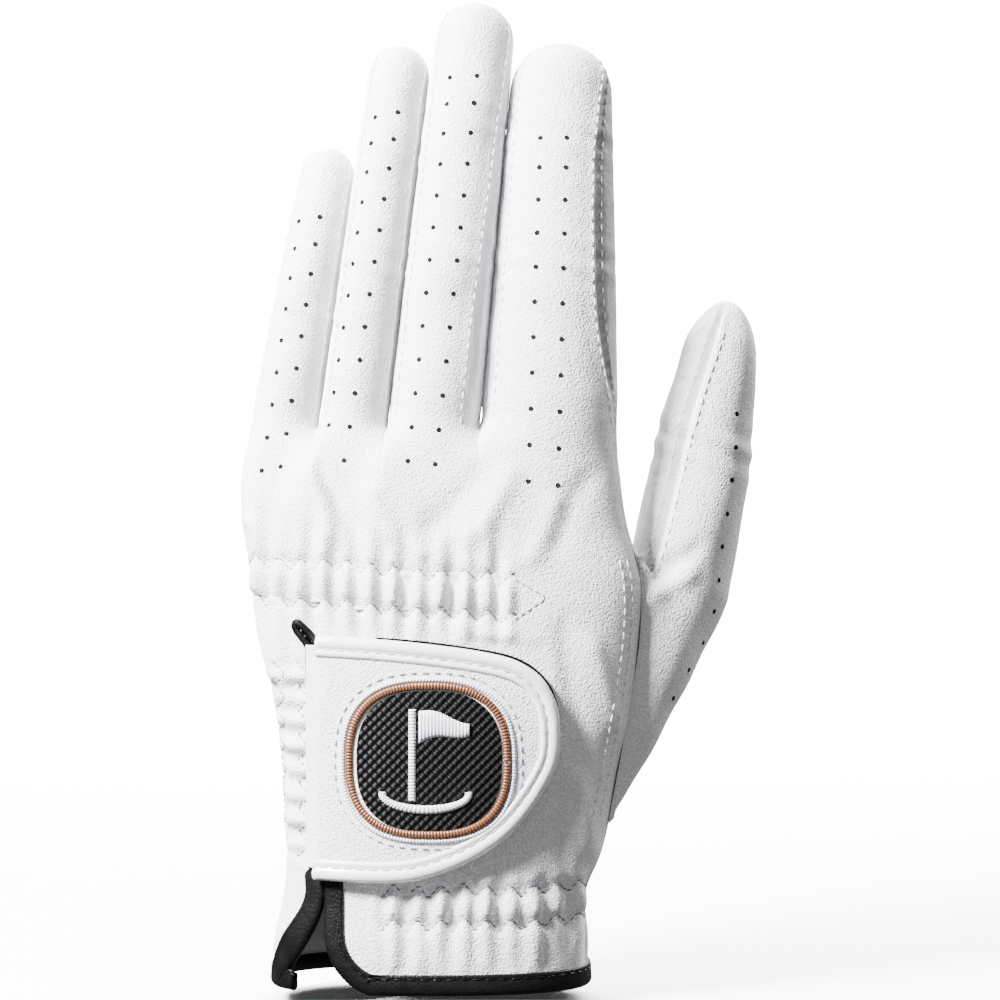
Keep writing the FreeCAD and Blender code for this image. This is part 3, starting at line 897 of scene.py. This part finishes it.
def thumb_angles(q):
    """Column angles round the thumb from the crotch, past the palm; leather first."""
    low = through(q, (-0.6, 0.1, 0.6, 1.0, 1.4, 1.7, 2.0), (-16, -42, -47, -49, -53, -60, -62))
    first = low + (118 - low) * np.arange(THUMB_AROUND[0]) / THUMB_AROUND[0]
    second = 118 + (360 + low - 118) * np.arange(THUMB_AROUND[1]) / THUMB_AROUND[1]
    return np.radians(np.concatenate([first, second]))


def thumb_ring(q):
    _, across, bend = thumb_frame(q)
    wide = through(q, (0, 0.5, 1, 1.63, 2), (12.4, 12.2, 11.5, 8.9, 6.9))
    deep = through(q, (0, 0.5, 1, 1.63, 2), (11.4, 11.0, 10.2, 8.3, 6.6))
    past = (q - 1) * THUMB_LENGTH - (THUMB_LENGTH - THUMB_ROUND)
    share = math.sqrt(max(0.0, 1 - (max(past, 0) / THUMB_ROUND) ** 2))
    a = thumb_angles(q)
    ring = (across * (wide * share * np.cos(a))[:, None]
            + bend * (deep * share * np.sin(a))[:, None])
    return thumb_centre(q) + ring


def gusset_seam():
    """The thumb gusset's edge on the hand: down its back from the crotch, up its palm."""
    a = thumb_angles(-1.0)
    z = 67.5 + 30.5 * np.cos(a)
    palm = np.sin(a) > 0
    cx, _, half_x, _ = hand_size(z)
    reach = np.where(palm, 0.5 + 19 * np.sin(a) ** 2, 0.5)
    x = cx + half_x - reach
    return np.stack([x, hand_side(x, z, ~palm), z], -1)


def build_thumb():
    base_ring, first = gusset_seam(), thumb_ring(0.0)
    way = thumb_frame(0.0)[0]
    a = thumb_angles(-0.5)
    out = np.stack([10.5 - 2.0 * np.cos(a), 3 + 5.0 * np.sin(a), 10 - 8 * np.cos(a)], -1)
    out *= (0.25 + 0.75 * np.sin(a / 2) ** 2)[:, None]
    near, far = base_ring + out, first - way * 14 * (0.2 + 0.8 * np.sin(a / 2) ** 2)[:, None]
    rings, stations = [], []
    for t in np.linspace(0, 1, 44)[:-1]:
        rings.append((1 - t) ** 3 * base_ring + 3 * (1 - t) ** 2 * t * near
                     + 3 * (1 - t) * t * t * far + t ** 3 * first)
        stations.append(t - 1)
    straight = 1 + (THUMB_LENGTH - THUMB_ROUND) / THUMB_LENGTH
    plain = np.linspace(0, straight, 64)
    tip = straight + (2 - straight) * np.sin(np.radians(CAP_ANGLES))
    for q in np.concatenate([plain, tip]):
        rings.append(thumb_ring(q))
        stations.append(q)
    rings, stations = np.array(rings), np.array(stations)
    count = rings.shape[1]
    angle = np.array([thumb_angles(max(q, -1)) for q in stations])
    relief = 0.25 * ripple(rings[..., 0] * 1.6 + rings[..., 1], rings[..., 2] * 1.4, 61)
    relief += 0.3 * np.cos(rings[..., 2] * 0.9 + rings[..., 0] * 0.4) * bell(
        stations[:, None] - 1.0, 0.16)
    relief += 0.9 * bell((rings[..., 0] - 48) * 0.55 - (rings[..., 2] - 88), 2.2) * window(
        rings[..., 0], 46, 57, 4)
    relief -= 0.8 * bell((rings[..., 0] - 48) * 0.55 - (rings[..., 2] - 93), 2.0) * window(
        rings[..., 0], 46, 58, 4)
    for column in (0, THUMB_AROUND[0]):
        off = (angle - angle[:, column:column + 1] + math.pi) % (2 * math.pi) - math.pi
        relief += (seam_profile(off * THUMB_RADIUS)
                   * window(stations, -0.8, 1.85, 0.1)[:, None])
    relief *= ease((stations + 1) / 0.12)[:, None] * ease((2 - stations) / 0.15)[:, None]
    relief += (0.9 * bell(stations + 0.985, 0.022))[:, None]
    start = skin.add(rings[:-1], relief[:-1])
    pole = skin.add(rings[-1, :1], [0.0])
    last = len(rings) - 2
    groups = {}
    for r in range(last + 1):
        middle = (stations[r] + stations[r + 1]) / 2
        part = "root" if middle < 0 else "shaft" if middle < 0.55 else "tip"
        for j in range(count):
            j2 = (j + 1) % count
            lower = (start + r * count + j, start + r * count + j2)
            if r == last:
                upper = (pole, pole)
            else:
                upper = (start + (r + 1) * count + j, start + (r + 1) * count + j2)
            side = "palm" if j < THUMB_AROUND[0] else "back"
            groups.setdefault(f"thumb_{part}_{side}", []).append(
                (lower[0], upper[0], upper[1], lower[1]))
    for label, faces in groups.items():
        skin.panel(label, faces)
    return rings, stations


thumb_rings, thumb_stations = build_thumb()
skin.close()


# ---------------------------------------------------------------- slit outline
def slit_edges(z):
    """Left and right edges of the slit at height z."""
    z = np.asarray(z, float)
    (top_x, top), (flare_x, flare) = SLIT_TOP, SLIT_FLARE
    middle = flare_x + (top_x - flare_x) * np.clip((z - flare) / (top - flare), 0, 1)
    middle = middle - 3.6 * ease((z - top + 6) / 7)
    half = SLIT_HALF * np.sqrt(np.clip(1 - np.clip((z - top) / 4 + 1, 0, 1) ** 2, 0, 1))
    left = middle - half - 9.4 * ease((flare + 2 - z) / (flare + 2)) ** 1.2
    corner = np.clip((SLIT_CORNER - z) / SLIT_CORNER, 0, 1)
    right = middle + half + SLIT_CORNER * (1 - np.sqrt(np.clip(1 - corner ** 2, 0, 1)))
    return left, right


def in_slit(middle):
    left, right = slit_edges(middle[:, 2])
    return ((middle[:, 1] < -4) & (middle[:, 2] < SLIT_TOP[1]) & (middle[:, 0] > left)
            & (middle[:, 0] < right))


def follow(obj):
    """Bakes a finger's piece's placement into its mesh."""
    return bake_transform(obj)


def follow_thumb(obj, part):
    if part == "root":
        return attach(obj, "hand")
    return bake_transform(obj)


def stand_for(obj, slot, *nodes):
    """Hides the solids that a piece stands in for; slot is not used."""
    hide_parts(*nodes)
    return obj


PANEL_FINISH = {"back": (SUEDE, "suede"), "palm": (LEATHER_SKIN, "palm_leather"),
                "fourchettes": (TRICOT, "fourchette_cloth")}
for finger in ORDER:
    for segment in SEGMENTS:
        for side, (material, slot) in PANEL_FINISH.items():
            node = f"{finger}_{segment}_{side}"
            panel = skin.cut("skin_" + node, [node], material)
            follow(panel)
            stand_for(panel, slot, node)
for part in ("root", "shaft", "tip"):
    for side in ("back", "palm"):
        node = f"thumb_{part}_{side}"
        material, slot = PANEL_FINISH[side]
        panel = skin.cut("skin_" + node, [node], material)
        follow_thumb(panel, part)
        stand_for(panel, slot, node)

back = skin.cut("skin_back_panel", ["back_panel"], SUEDE, drop=in_slit)
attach(back, "hand")
stand_for(back, "suede", "back_panel", "finger_crotches")
palm = skin.cut("skin_palm_panel", ["palm_panel"], LEATHER_SKIN)
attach(palm, "hand")
stand_for(palm, "palm_leather", "palm_panel")


# ---------------------------------------------------------------- bands and bindings
def resample(points, step):
    points = np.asarray(points, float)
    run = distances(points)
    at = np.linspace(0, run[-1], max(2, int(run[-1] / step)))
    return np.stack([np.interp(at, run, points[:, k]) for k in range(points.shape[1])], -1)


def rounded(points, times=2):
    """Corners of a path cut smooth, its ends kept."""
    points = np.asarray(points, float)
    for _ in range(times):
        cut = [points[:1]]
        for a, b in zip(points[:-1], points[1:]):
            cut.append(np.array([a * 0.75 + b * 0.25, a * 0.25 + b * 0.75]))
        cut.append(points[-1:])
        points = np.concatenate(cut)
    return points


def recalculate(obj):
    """Turns a closed shape's faces outwards."""
    work = bmesh.new()
    work.from_mesh(obj.data)
    bmesh.ops.recalc_face_normals(work, faces=work.faces)
    if work.calc_volume(signed=True) < 0:
        bmesh.ops.reverse_faces(work, faces=work.faces)
    work.to_mesh(obj.data)
    work.free()


def grid_faces(rows, count, rows_closed=False, columns_closed=True):
    """Faces of a grid of points, row by row; either way round it may close on itself."""
    return [(r * count + k, r * count + (k + 1) % count,
             (r + 1) % rows * count + (k + 1) % count, (r + 1) % rows * count + k)
            for r in range(rows if rows_closed else rows - 1)
            for k in range(count if columns_closed else count - 1)]


def walled(name, upper, lower, faces, rim, material, uv=None):
    """A sheet's upper and lower points, closed by a wall round its rim."""
    total = len(upper)
    under = [tuple(v + total for v in reversed(f)) for f in faces]
    wall = [(a, b, b + total, a + total) for a, b in zip(rim, rim[1:] + rim[:1])]
    obj = make_mesh(name, np.concatenate([upper, lower]), faces + under + wall,
                    material=material, uv=uv)
    recalculate(obj)
    return obj


def band(name, path, up, profile, material, closed=False, flip=False, narrow=None):
    """A profile of (sideways, up) points carried along a path; sideways is left of the path.
    narrow scales the sideways part along the way."""
    path, up = np.asarray(path, float), np.asarray(up, float)
    tangent = np.gradient(path, axis=0)
    if closed:
        tangent[0] = tangent[-1] = path[1] - path[-2]
    side = unit(np.cross(up, unit(tangent)) * (-1 if flip else 1))
    across = np.array(profile, float)
    run = distances(path)
    width = np.ones(len(path)) if narrow is None else narrow
    grid = (path[:, None] + side[:, None] * (across[None, :, :1] * width[:, None, None])
            + up[:, None] * across[None, :, 1:])
    rows, count = len(path) - (1 if closed else 0), len(across)
    uv = np.stack([np.repeat(run[:rows], count), np.tile(np.arange(count) * 0.5, rows)], -1)
    verts = grid[:rows].reshape(-1, 3)
    faces = grid_faces(rows, count, closed)
    if flip:
        faces = [quad[::-1] for quad in faces]
    if not closed:
        ends = (tuple(range(count)), tuple(range((rows - 1) * count, rows * count)))
        faces.append(ends[0] if flip else ends[0][::-1])
        faces.append(ends[1][::-1] if flip else ends[1])
    obj = make_mesh(name, verts, faces, material=material, uv=uv)
    recalculate(obj)
    return obj


# Binding tape folded over an edge; sideways runs in from the edge
TAPE_PROFILE = [(-0.3, -1.25), (-0.75, -0.85), (-0.9, -0.2), (-0.75, 0.4), (-0.3, 0.78),
                (0.4, 0.92), (1.4, 0.86), (2.4, 0.8), (2.9, 0.62), (3.2, 0.72), (3.7, 0.66),
                (3.95, 0.35), (3.9, -0.1), (3.0, -0.5), (3.0, -1.3)]


HEM_Z = 0.75


def hem_path():
    """Down the slit's right lip and round the wrist opening to its left lip."""
    left, start = slit_edges(0.0)
    cx, cy, half_x, half_y = hand_size(0.6)
    x, y = squircle((cx, cy), (half_x, half_y), SQUARENESS, 720)
    ring = resample(np.stack([x, y, np.full_like(x, HEM_Z)], -1), 0.8)[:-1]
    first = np.argmin(np.hypot(ring[:, 0] - float(start), ring[:, 1] + 19))
    ring = np.roll(ring, -first, axis=0)
    stop = np.argmin(np.hypot(ring[:, 0] - float(left), ring[:, 1] + 15))
    z = np.linspace(HEM_Z, SLIT_CORNER, 24)[::-1]
    corner = resample(rounded(on_back(slit_edges(z)[1], z), 1), 0.7)
    return np.concatenate([corner, ring[1:stop + 1]])


def evened(values, times):
    """Each value drawn towards its neighbours, the ends kept."""
    for _ in range(times):
        values[1:-1] = (values[:-2] + values[1:-1] + values[2:]) / 3
    return values


def path_normals(path):
    return unit(evened(skin.settle(path)[1], 3))


hem_line = hem_path()
hem_up = path_normals(hem_line)
# round the hem the tape stands level; up the slit's lip it leans with the cloth
level = ease((hem_line[:, 2] - HEM_Z) / 6)
level_up = unit(hem_up * np.array([1, 1, 0]))
hem_up = unit(level_up * (1 - level[:, None]) + hem_up * level[:, None])
near_end = SLIT_TOP[1] - 4.0 * (1 - np.sin(np.linspace(0, math.pi / 2, 24)))
rising = np.concatenate([np.linspace(0.4, near_end[0], 110)[:-1], near_end])
falling = np.concatenate([near_end[::-1][1:], np.linspace(near_end[0], SLIT_CORNER, 92)[1:]])
slit_z = np.concatenate([rising, falling])
slit_x = np.concatenate([slit_edges(rising)[0], slit_edges(falling)[1]])
slit_line = on_back(slit_x, slit_z, 0.0)
slimness = 1 - 0.62 * window(slit_z, 29, 120, 2.5) - 0.06 * window(slit_z, 78, 120, 3)
slimness[:len(rising)] += 0.35 * bell(rising - 9, 8)
edge_line = np.concatenate([slit_line[:-1], hem_line])
edge_up = unit(evened(np.concatenate([path_normals(slit_line)[:-1], hem_up]), 6))
tape = band("edge_tape", edge_line, edge_up, TAPE_PROFILE, TAPE,
            narrow=np.concatenate([slimness[:-1], np.ones(len(hem_line))]))
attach(tape, "hand")
stand_for(tape, "black_binding", "slit_binding", "hem_binding")


# ---------------------------------------------------------------- closure tab
def tab_outline(inset=0.0, step=0.8):
    """The tab's edge from the top of its root to the bottom, moved in by inset."""
    points = np.array(TAB_EDGE, float)
    dense = np.linspace(0, len(points) - 1, 260)
    smooth = np.stack([through(dense, np.arange(len(points)), points[:, k]) for k in (0, 1)], -1)
    smooth = resample(smooth, step)
    way = unit(np.gradient(smooth, axis=0))
    inward = np.stack([way[:, 1], -way[:, 0]], -1)
    return smooth + inward * inset


def on_tab(points, height):
    """Points a height above the hand's plain surface, where the tab lies."""
    points = np.asarray(points, float)
    return on_back(points[:, 0], points[:, 1], height, relief=False)


def tab_sheet(name, inset, root_x, height, puff, thickness, material):
    """A flat piece of the tab: a grid from its root to its outline, with a real wall."""
    outline = tab_outline(inset)
    outline = outline[outline[:, 0] > root_x]
    outline = np.concatenate([[(root_x, outline[0, 1])], outline, [(root_x, outline[-1, 1])]])
    middle = np.array([-2.0, (outline[0, 1] + outline[-1, 1]) / 2])
    root = np.stack([np.full(60, root_x), np.linspace(outline[-1, 1], outline[0, 1], 60)], -1)
    loop = np.concatenate([outline, root[1:-1]])
    rings, count = 22, len(loop)
    share = (np.arange(1, rings + 1) / rings) ** 0.9
    flat_points = middle + (loop - middle)[None] * share[:, None, None]
    flat_points = np.concatenate([[middle], flat_points.reshape(-1, 2)])
    reach = np.concatenate([[0], np.repeat(share, count)])
    lift = height + puff * (1 - reach ** 6)
    upper = on_tab(flat_points, lift)
    n = outward(flat_points[:, 0], flat_points[:, 1], True)
    lower = upper - n * thickness
    faces = [(0, 1 + (k + 1) % count, 1 + k) for k in range(count)]
    faces += [tuple(v + 1 for v in quad) for quad in grid_faces(rings, count)]
    rim = [1 + (rings - 1) * count + k for k in range(count)]
    return walled(name, upper, lower, faces, rim, material)


def ride_tab(obj, slot, *nodes):
    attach(obj, "tab")
    return stand_for(obj, slot, *nodes) if nodes else obj


face = tab_sheet("tab_suede", 3.3, -26.5, 3.05, 0.25, 0.8, SUEDE)
ride_tab(face, "suede", "tab_face")

# Vinyl rolled over the tab's edge, stitched down, with a thin lip inside the stitches
VINYL_PROFILE = [(0.7, 1.85), (0.1, 2.05), (-0.15, 2.6), (0.0, 3.2), (0.6, 3.72), (1.5, 3.9),
                 (2.2, 3.78), (2.65, 3.5), (2.9, 3.36), (3.2, 3.5), (3.7, 3.66), (4.2, 3.6),
                 (4.5, 3.35), (4.45, 3.05), (3.6, 2.1)]
tab_line = tab_outline(0.0)
tab_up = outward(tab_line[:, 0], tab_line[:, 1], True)
rim = band("tab_vinyl", on_tab(tab_line, 0.0), tab_up, VINYL_PROFILE, VINYL, flip=True)
ride_tab(rim, "white_vinyl", "tab_binding")
ride_tab(sew("tab_stitches", [on_tab(tab_outline(2.9), 3.42)], length=2.1, gap=0.8,
             radius=0.24, thread=LILAC_THREAD), "white_vinyl")


# ---------------------------------------------------------------- patch
def patch_loop(grow_by):
    halves = PATCH_HALF[0] + grow_by, PATCH_HALF[1] + grow_by
    return resample(np.stack(squircle(PATCH_MIDDLE, halves, PATCH_SQUARENESS, 220), -1), 0.7)


def satin_band(name, loop, width, height, material):
    half = width / 2
    profile = [(-half, -0.35), (-half, 0.0), (-half * 0.75, 0.3), (0, 0.42), (half * 0.75, 0.3),
               (half, 0.0), (half, -0.35)]
    path = on_tab(loop, height)
    up = outward(loop[:, 0], loop[:, 1], True)
    return band(name, path, up, profile, material, closed=True)


ride_tab(satin_band("patch_copper", patch_loop(-0.8), 1.7, 3.62, COPPER_SATIN), "patch_border",
         "patch_border")
ride_tab(satin_band("patch_edging", patch_loop(0.6), 1.0, 3.35, WHITE_SATIN), "patch_emblem")
ride_tab(sew("patch_stitches", [on_tab(patch_loop(2.2), 3.4)], 1.7, 0.9, 0.2, LILAC_THREAD),
         "patch_emblem")


def satin_shape(name, upper, lower, height, material):
    """Threads laid between two edges: a raised cushion that rounds down to both."""
    upper, lower = np.asarray(upper, float), np.asarray(lower, float)
    levels = np.linspace(0, 1, 9)
    flat = upper[:, None] + (lower - upper)[:, None] * levels[None, :, None]
    count, rows = len(levels), len(upper)
    flat = flat.reshape(-1, 2)
    bulge = np.tile(0.5 * (1 - np.abs(2 * levels - 1) ** 3), rows)
    top = on_tab(flat, 0)
    n = outward(flat[:, 0], flat[:, 1], True)
    face, under = top + n * (height + bulge)[:, None], top + n * (height - 0.3)
    rim = ([r * count for r in range(rows)] + [(rows - 1) * count + k for k in range(1, count)]
           + [r * count + count - 1 for r in range(rows - 2, -1, -1)]
           + [k for k in range(count - 2, 0, -1)])
    run = np.repeat(np.arange(rows) * 0.5, count)
    uv = np.stack([run, np.tile(levels, rows)], -1)
    return walled(name, face, under, grid_faces(rows, count, columns_closed=False), rim,
                  material, np.concatenate([uv, uv]))


def emblem():
    """A plain flag standing in its hole, in raised white thread."""
    cx, cz = PATCH_MIDDLE
    along = np.linspace(0, 1, 22)
    sway = 0.7 * np.sin(along * 5.2)
    drop = 7.2 * (1 - 0.62 * along)
    x, edge = cx - 2.2 + 11.2 * along, cz + 11.0 - 2.2 * along + sway
    top, bottom = np.stack([x, edge], -1), np.stack([x, edge - drop], -1)
    z = np.linspace(-9.0, 11.4, 42)
    left = np.stack([np.full(42, cx - 4.4), cz + z], -1)
    right = np.stack([np.full(42, cx - 2.8), cz + z], -1)
    a = np.linspace(math.radians(172), math.radians(368), 50)
    rim_out = np.stack([cx - 0.6 + 10.2 * np.cos(a), cz - 7.4 + 4.4 * np.sin(a)], -1)
    rim_in = np.stack([cx - 0.6 + 8.6 * np.cos(a), cz - 7.4 + 2.5 * np.sin(a)], -1)
    return [satin_shape("emblem_pole", left, right, 3.68, WHITE_SATIN),
            satin_shape("emblem_flag", top, bottom, 3.66, WHITE_SATIN),
            satin_shape("emblem_cup", rim_out, rim_in, 3.66, WHITE_SATIN)]


emblem_pieces = emblem()
for piece in emblem_pieces:
    ride_tab(piece, "patch_emblem")
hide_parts("patch_emblem")

for node, material in (("patch_field", NYLON), ("loop_pad", LOOPS), ("hook_pad", LOOPS),
                       ("knuckle_elastic", ELASTIC), ("wrist_elastic", ELASTIC),
                       ("side_elastic", ELASTIC), ("tab_anchor", VINYL)):
    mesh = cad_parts[node].data
    mesh.materials.clear()
    mesh.materials.append(material)


# ---------------------------------------------------------------- sewing
STITCH_LIFT = 0.06


def finger_row(name, side, offset, s_from, s_to):
    """A row of stitches beside a seam, offset millimetres into the panel."""
    s = np.linspace(s_from, s_to, int(abs(s_to - s_from) / 0.9))
    column = {"left": 0, "right": 1, "palm_right": 2, "palm_left": 3}[side]
    angles = seam_angles(name, s)[column] + np.degrees(offset / FINGERS[name][2][0])
    return skin.settle(finger_surface(name, angles, s, 0.3 + 0 * s), STITCH_LIFT)[0]


finger_seams = {
    "little": [("right", -1.7), ("palm_left", 1.6)],
    "ring": [("left", 1.7), ("right", -1.7), ("palm_right", 1.5), ("palm_left", -1.5)],
    "middle": [("left", 1.7), ("right", -1.7), ("palm_right", 1.5), ("palm_left", -1.5)],
    "index": [("left", 1.6), ("right", -1.6), ("right", 1.6), ("palm_left", -1.5)],
}
for finger, seams in finger_seams.items():
    low, high = zone_limits(finger)
    length = finger_length(finger)
    for segment, span in zip(SEGMENTS, ((-3.5, low), (low, high), (high, length - 5))):
        rows = [finger_row(finger, side, offset, *span) for side, offset in seams]
        follow(sew(f"{finger}_{segment}_stitches", rows))

for part, span in (("root", (-0.9, 0.0)), ("shaft", (0.0, 0.55)), ("tip", (0.55, 1.75))):
    rows = []
    ring = thumb_rings[(thumb_stations >= span[0]) & (thumb_stations <= span[1])]
    for column, offset in ((0, 1.7), (0, -1.7), (THUMB_AROUND[0], 1.7), (THUMB_AROUND[0], -1.7)):
        here, beside = ring[:, column], ring[:, column + (3 if offset > 0 else -3)]
        line = here + unit(beside - here) * abs(offset)
        rows.append(skin.settle(resample(line, 0.9), STITCH_LIFT)[0])
    follow_thumb(sew(f"thumb_{part}_stitches", rows), part)


def front_row(x, z):
    hits = [skin.from_front(a, b, STITCH_LIFT) for a, b in zip(x, z)]
    return np.array([h[0] for h in hits if h is not None])


def zigzag(row, span, pitch):
    """A zigzag about a line of the elastic, in the groove that it pulls in the cloth."""
    count = int((span[1] - span[0]) / pitch * 2)
    x = span[0] + np.arange(count + 1) * pitch / 2
    z = row(x) + zigzag_at(x, span[0], pitch, ZIGZAG_DEPTH)
    return resample(np.stack([x, z], -1), 0.4)


KNUCKLE_POINT = [(17.5, 92.6), (24.3, 88.6), (17.5, 84.0)]  # the rows meet in a point
elastics = ((knuckle_row, KNUCKLE_SPAN, KNUCKLE_PITCH), (wrist_row, WRIST_SPAN, WRIST_PITCH))
hand_rows = []
for low in (False, True):
    for row, span, pitch in elastics:
        hand_rows.append(front_row(*zigzag(lambda x: row(x, low), span, pitch).T))
hand_rows.append(front_row(*resample(KNUCKLE_POINT, 0.45).T))
for column in SIDE_ROWS:
    hand_rows.append(front_row(*zigzag(lambda z: column + 0 * z, SIDE_SPAN, SIDE_PITCH).T[::-1]))
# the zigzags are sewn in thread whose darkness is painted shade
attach(sew("elastic_zigzags", hand_rows, 1.4, 0.3, 0.18, PAINTED_SHADE_THREAD), "hand")

gusset_z = np.linspace(40, 96, 80)
cx, _, half_x, _ = hand_size(gusset_z)
gusset_rows = [front_row(cx + half_x - 1.2 - inset, gusset_z) for inset in (1.6, 3.4)]
inward = np.cross(hem_up, unit(np.gradient(hem_line, axis=0)))
hem_inner = hem_line + inward * 2.9 + hem_up * 0.68
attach(sew("gusset_stitches", gusset_rows), "hand")
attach(sew("hem_stitches", [hem_inner], 2.0, 0.9, 0.2, TAPE), "hand")


# ---------------------------------------------------------------- punched holes
HOLE_ROWS = {
    # first and last hole of each row as x, z, and how many
    "little": [((-32.7, 175.1), (-40.7, 117.4), 9), ((-27.8, 176), (-36.3, 118.3), 9)],
    "ring": [((-14.9, 198.8), (-25.3, 127.8), 11), ((-9.7, 199.8), (-21.6, 119.7), 12)],
    "middle": [((2.3, 207.6), (-7.1, 119.5), 13), ((8.5, 207.8), (-0.9, 118.8), 13)],
    "index": [((23, 193.3), (20.2, 114.9), 11), ((29, 193.3), (26.9, 114), 11)],
}
THUMB_HOLES = [(68.8, 130.7), (68.5, 122.9), (67.6, 115.3), (66.5, 107.5), (65.3, 99.9),
               (64.6, 92.1), (63.5, 84.8), (61, 77.6), (57.5, 71.4), (53.8, 65)]
HOLE_RADIUS, HOLE_LIFT = 0.6, 0.04


def punch(name, places):
    points, out = np.array([p for p, _ in places]), np.array([n for _, n in places])
    return grow(name, points, [], HOLES, {"Radius": HOLE_RADIUS * MM, "Material": HOLE}, out)


for finger, rows in HOLE_ROWS.items():
    low, high = zone_limits(finger)
    cosine = math.cos(math.radians(FINGERS[finger][1]))
    groups = {}
    for first, last, count in rows:
        for k in range(count):
            t = (k / (count - 1)) ** 1.06
            x = first[0] + (last[0] - first[0]) * t
            z = first[1] + (last[1] - first[1]) * t
            hit = skin.from_front(x, z, HOLE_LIFT)
            if hit is None:
                continue
            s = (z - HINGE_Z) / cosine
            where = "hand" if s < ROOT_ROW else SEGMENTS[int(s > low) + int(s > high)]
            groups.setdefault(where, []).append(hit)
    for where, places in groups.items():
        holes = punch(f"{finger}_{where}_holes", places)
        if where == "hand":
            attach(holes, "hand")
        else:
            follow(holes)
groups = {}
for x, z in THUMB_HOLES:
    hit = skin.from_front(x, z, HOLE_LIFT)
    if hit is None:
        continue
    part = "root" if z < 90 else "shaft" if z < 110 else "tip"
    groups.setdefault(part, []).append(hit)
for part, places in groups.items():
    follow_thumb(punch(f"thumb_{part}_holes", places), part)


# ---------------------------------------------------------------- studio
def studio():
    floor_mesh = bpy.data.meshes.new("studio_floor")
    sweep = [(0.9, -0.004), (1.3, -0.004), (1.9, 0.08), (2.4, 0.5), (2.6, 1.6), (2.6, 2.0)]
    profile = [(-9.0, -0.004), *rounded(sweep, 3), (2.6, 6.0)]
    verts = [(x, y, z) for y, z in profile for x in (-9.0, 9.0)]
    faces = [(2 * k, 2 * k + 1, 2 * k + 3, 2 * k + 2) for k in range(len(profile) - 1)]
    floor_mesh.from_pydata(verts, [], faces)
    floor_mesh.update()
    floor = link(bpy.data.objects.new("studio_floor", floor_mesh))
    paper, tree, shader, where = finish("white_paper", "#FFFFFF", 0.9)
    fibre = add(tree, "ShaderNodeTexNoise", {"Vector": (where, "Object"), "Scale": 40.0})
    tint(tree, shader, (fibre, 0), "#FCFCFC", "#FFFFFF")
    floor_mesh.materials.append(paper)
    # the backdrop is lit far brighter than the glove, and would wash out its shadows
    floor.visible_diffuse = floor.visible_glossy = False

    world = bpy.data.worlds.new("studio")
    bpy.context.scene.world = world
    world.use_nodes = True
    world.node_tree.nodes["Background"].inputs[0].default_value = (1, 1, 1, 1)
    world.node_tree.nodes["Background"].inputs[1].default_value = 0.22

    def lamp(name, place, aim, size, power):
        data = bpy.data.lights.new(name, "AREA")
        data.shape, data.size, data.energy = "SQUARE", size, power
        obj = link(bpy.data.objects.new(name, data))
        obj.location = place
        obj.rotation_euler = (Vector(aim) - Vector(place)).to_track_quat("-Z", "Y").to_euler()

    lamp("key", (-0.32, -0.24, 0.42), (0, 0, 0.12), 0.14, 27.0)
    lamp("edge", (0.75, 0.25, 0.55), (0.02, 0, 0.12), 0.4, 1.5)
    lamp("fill", (0.3, -1.3, 0.15), (0, 0, 0.1), 0.9, 1.5)
    lamp("wall", (0.0, 1.3, 1.6), (0, 2.5, 0.2), 2.5, 700.0)
    lamp("floor", (0.0, 1.3, 1.2), (0, 1.2, 0.0), 2.0, 160.0)


studio()
camera_data = bpy.data.cameras.new("camera")
camera_data.lens, camera_data.sensor_width = 100.0, 36.0
camera_data.clip_start, camera_data.clip_end = 0.01, 20.0
camera = link(bpy.data.objects.new("camera", camera_data))
camera.location = (0.0138, -0.640, 0.1107)
camera.rotation_euler = (math.radians(90), 0, 0)
bpy.context.scene.camera = camera
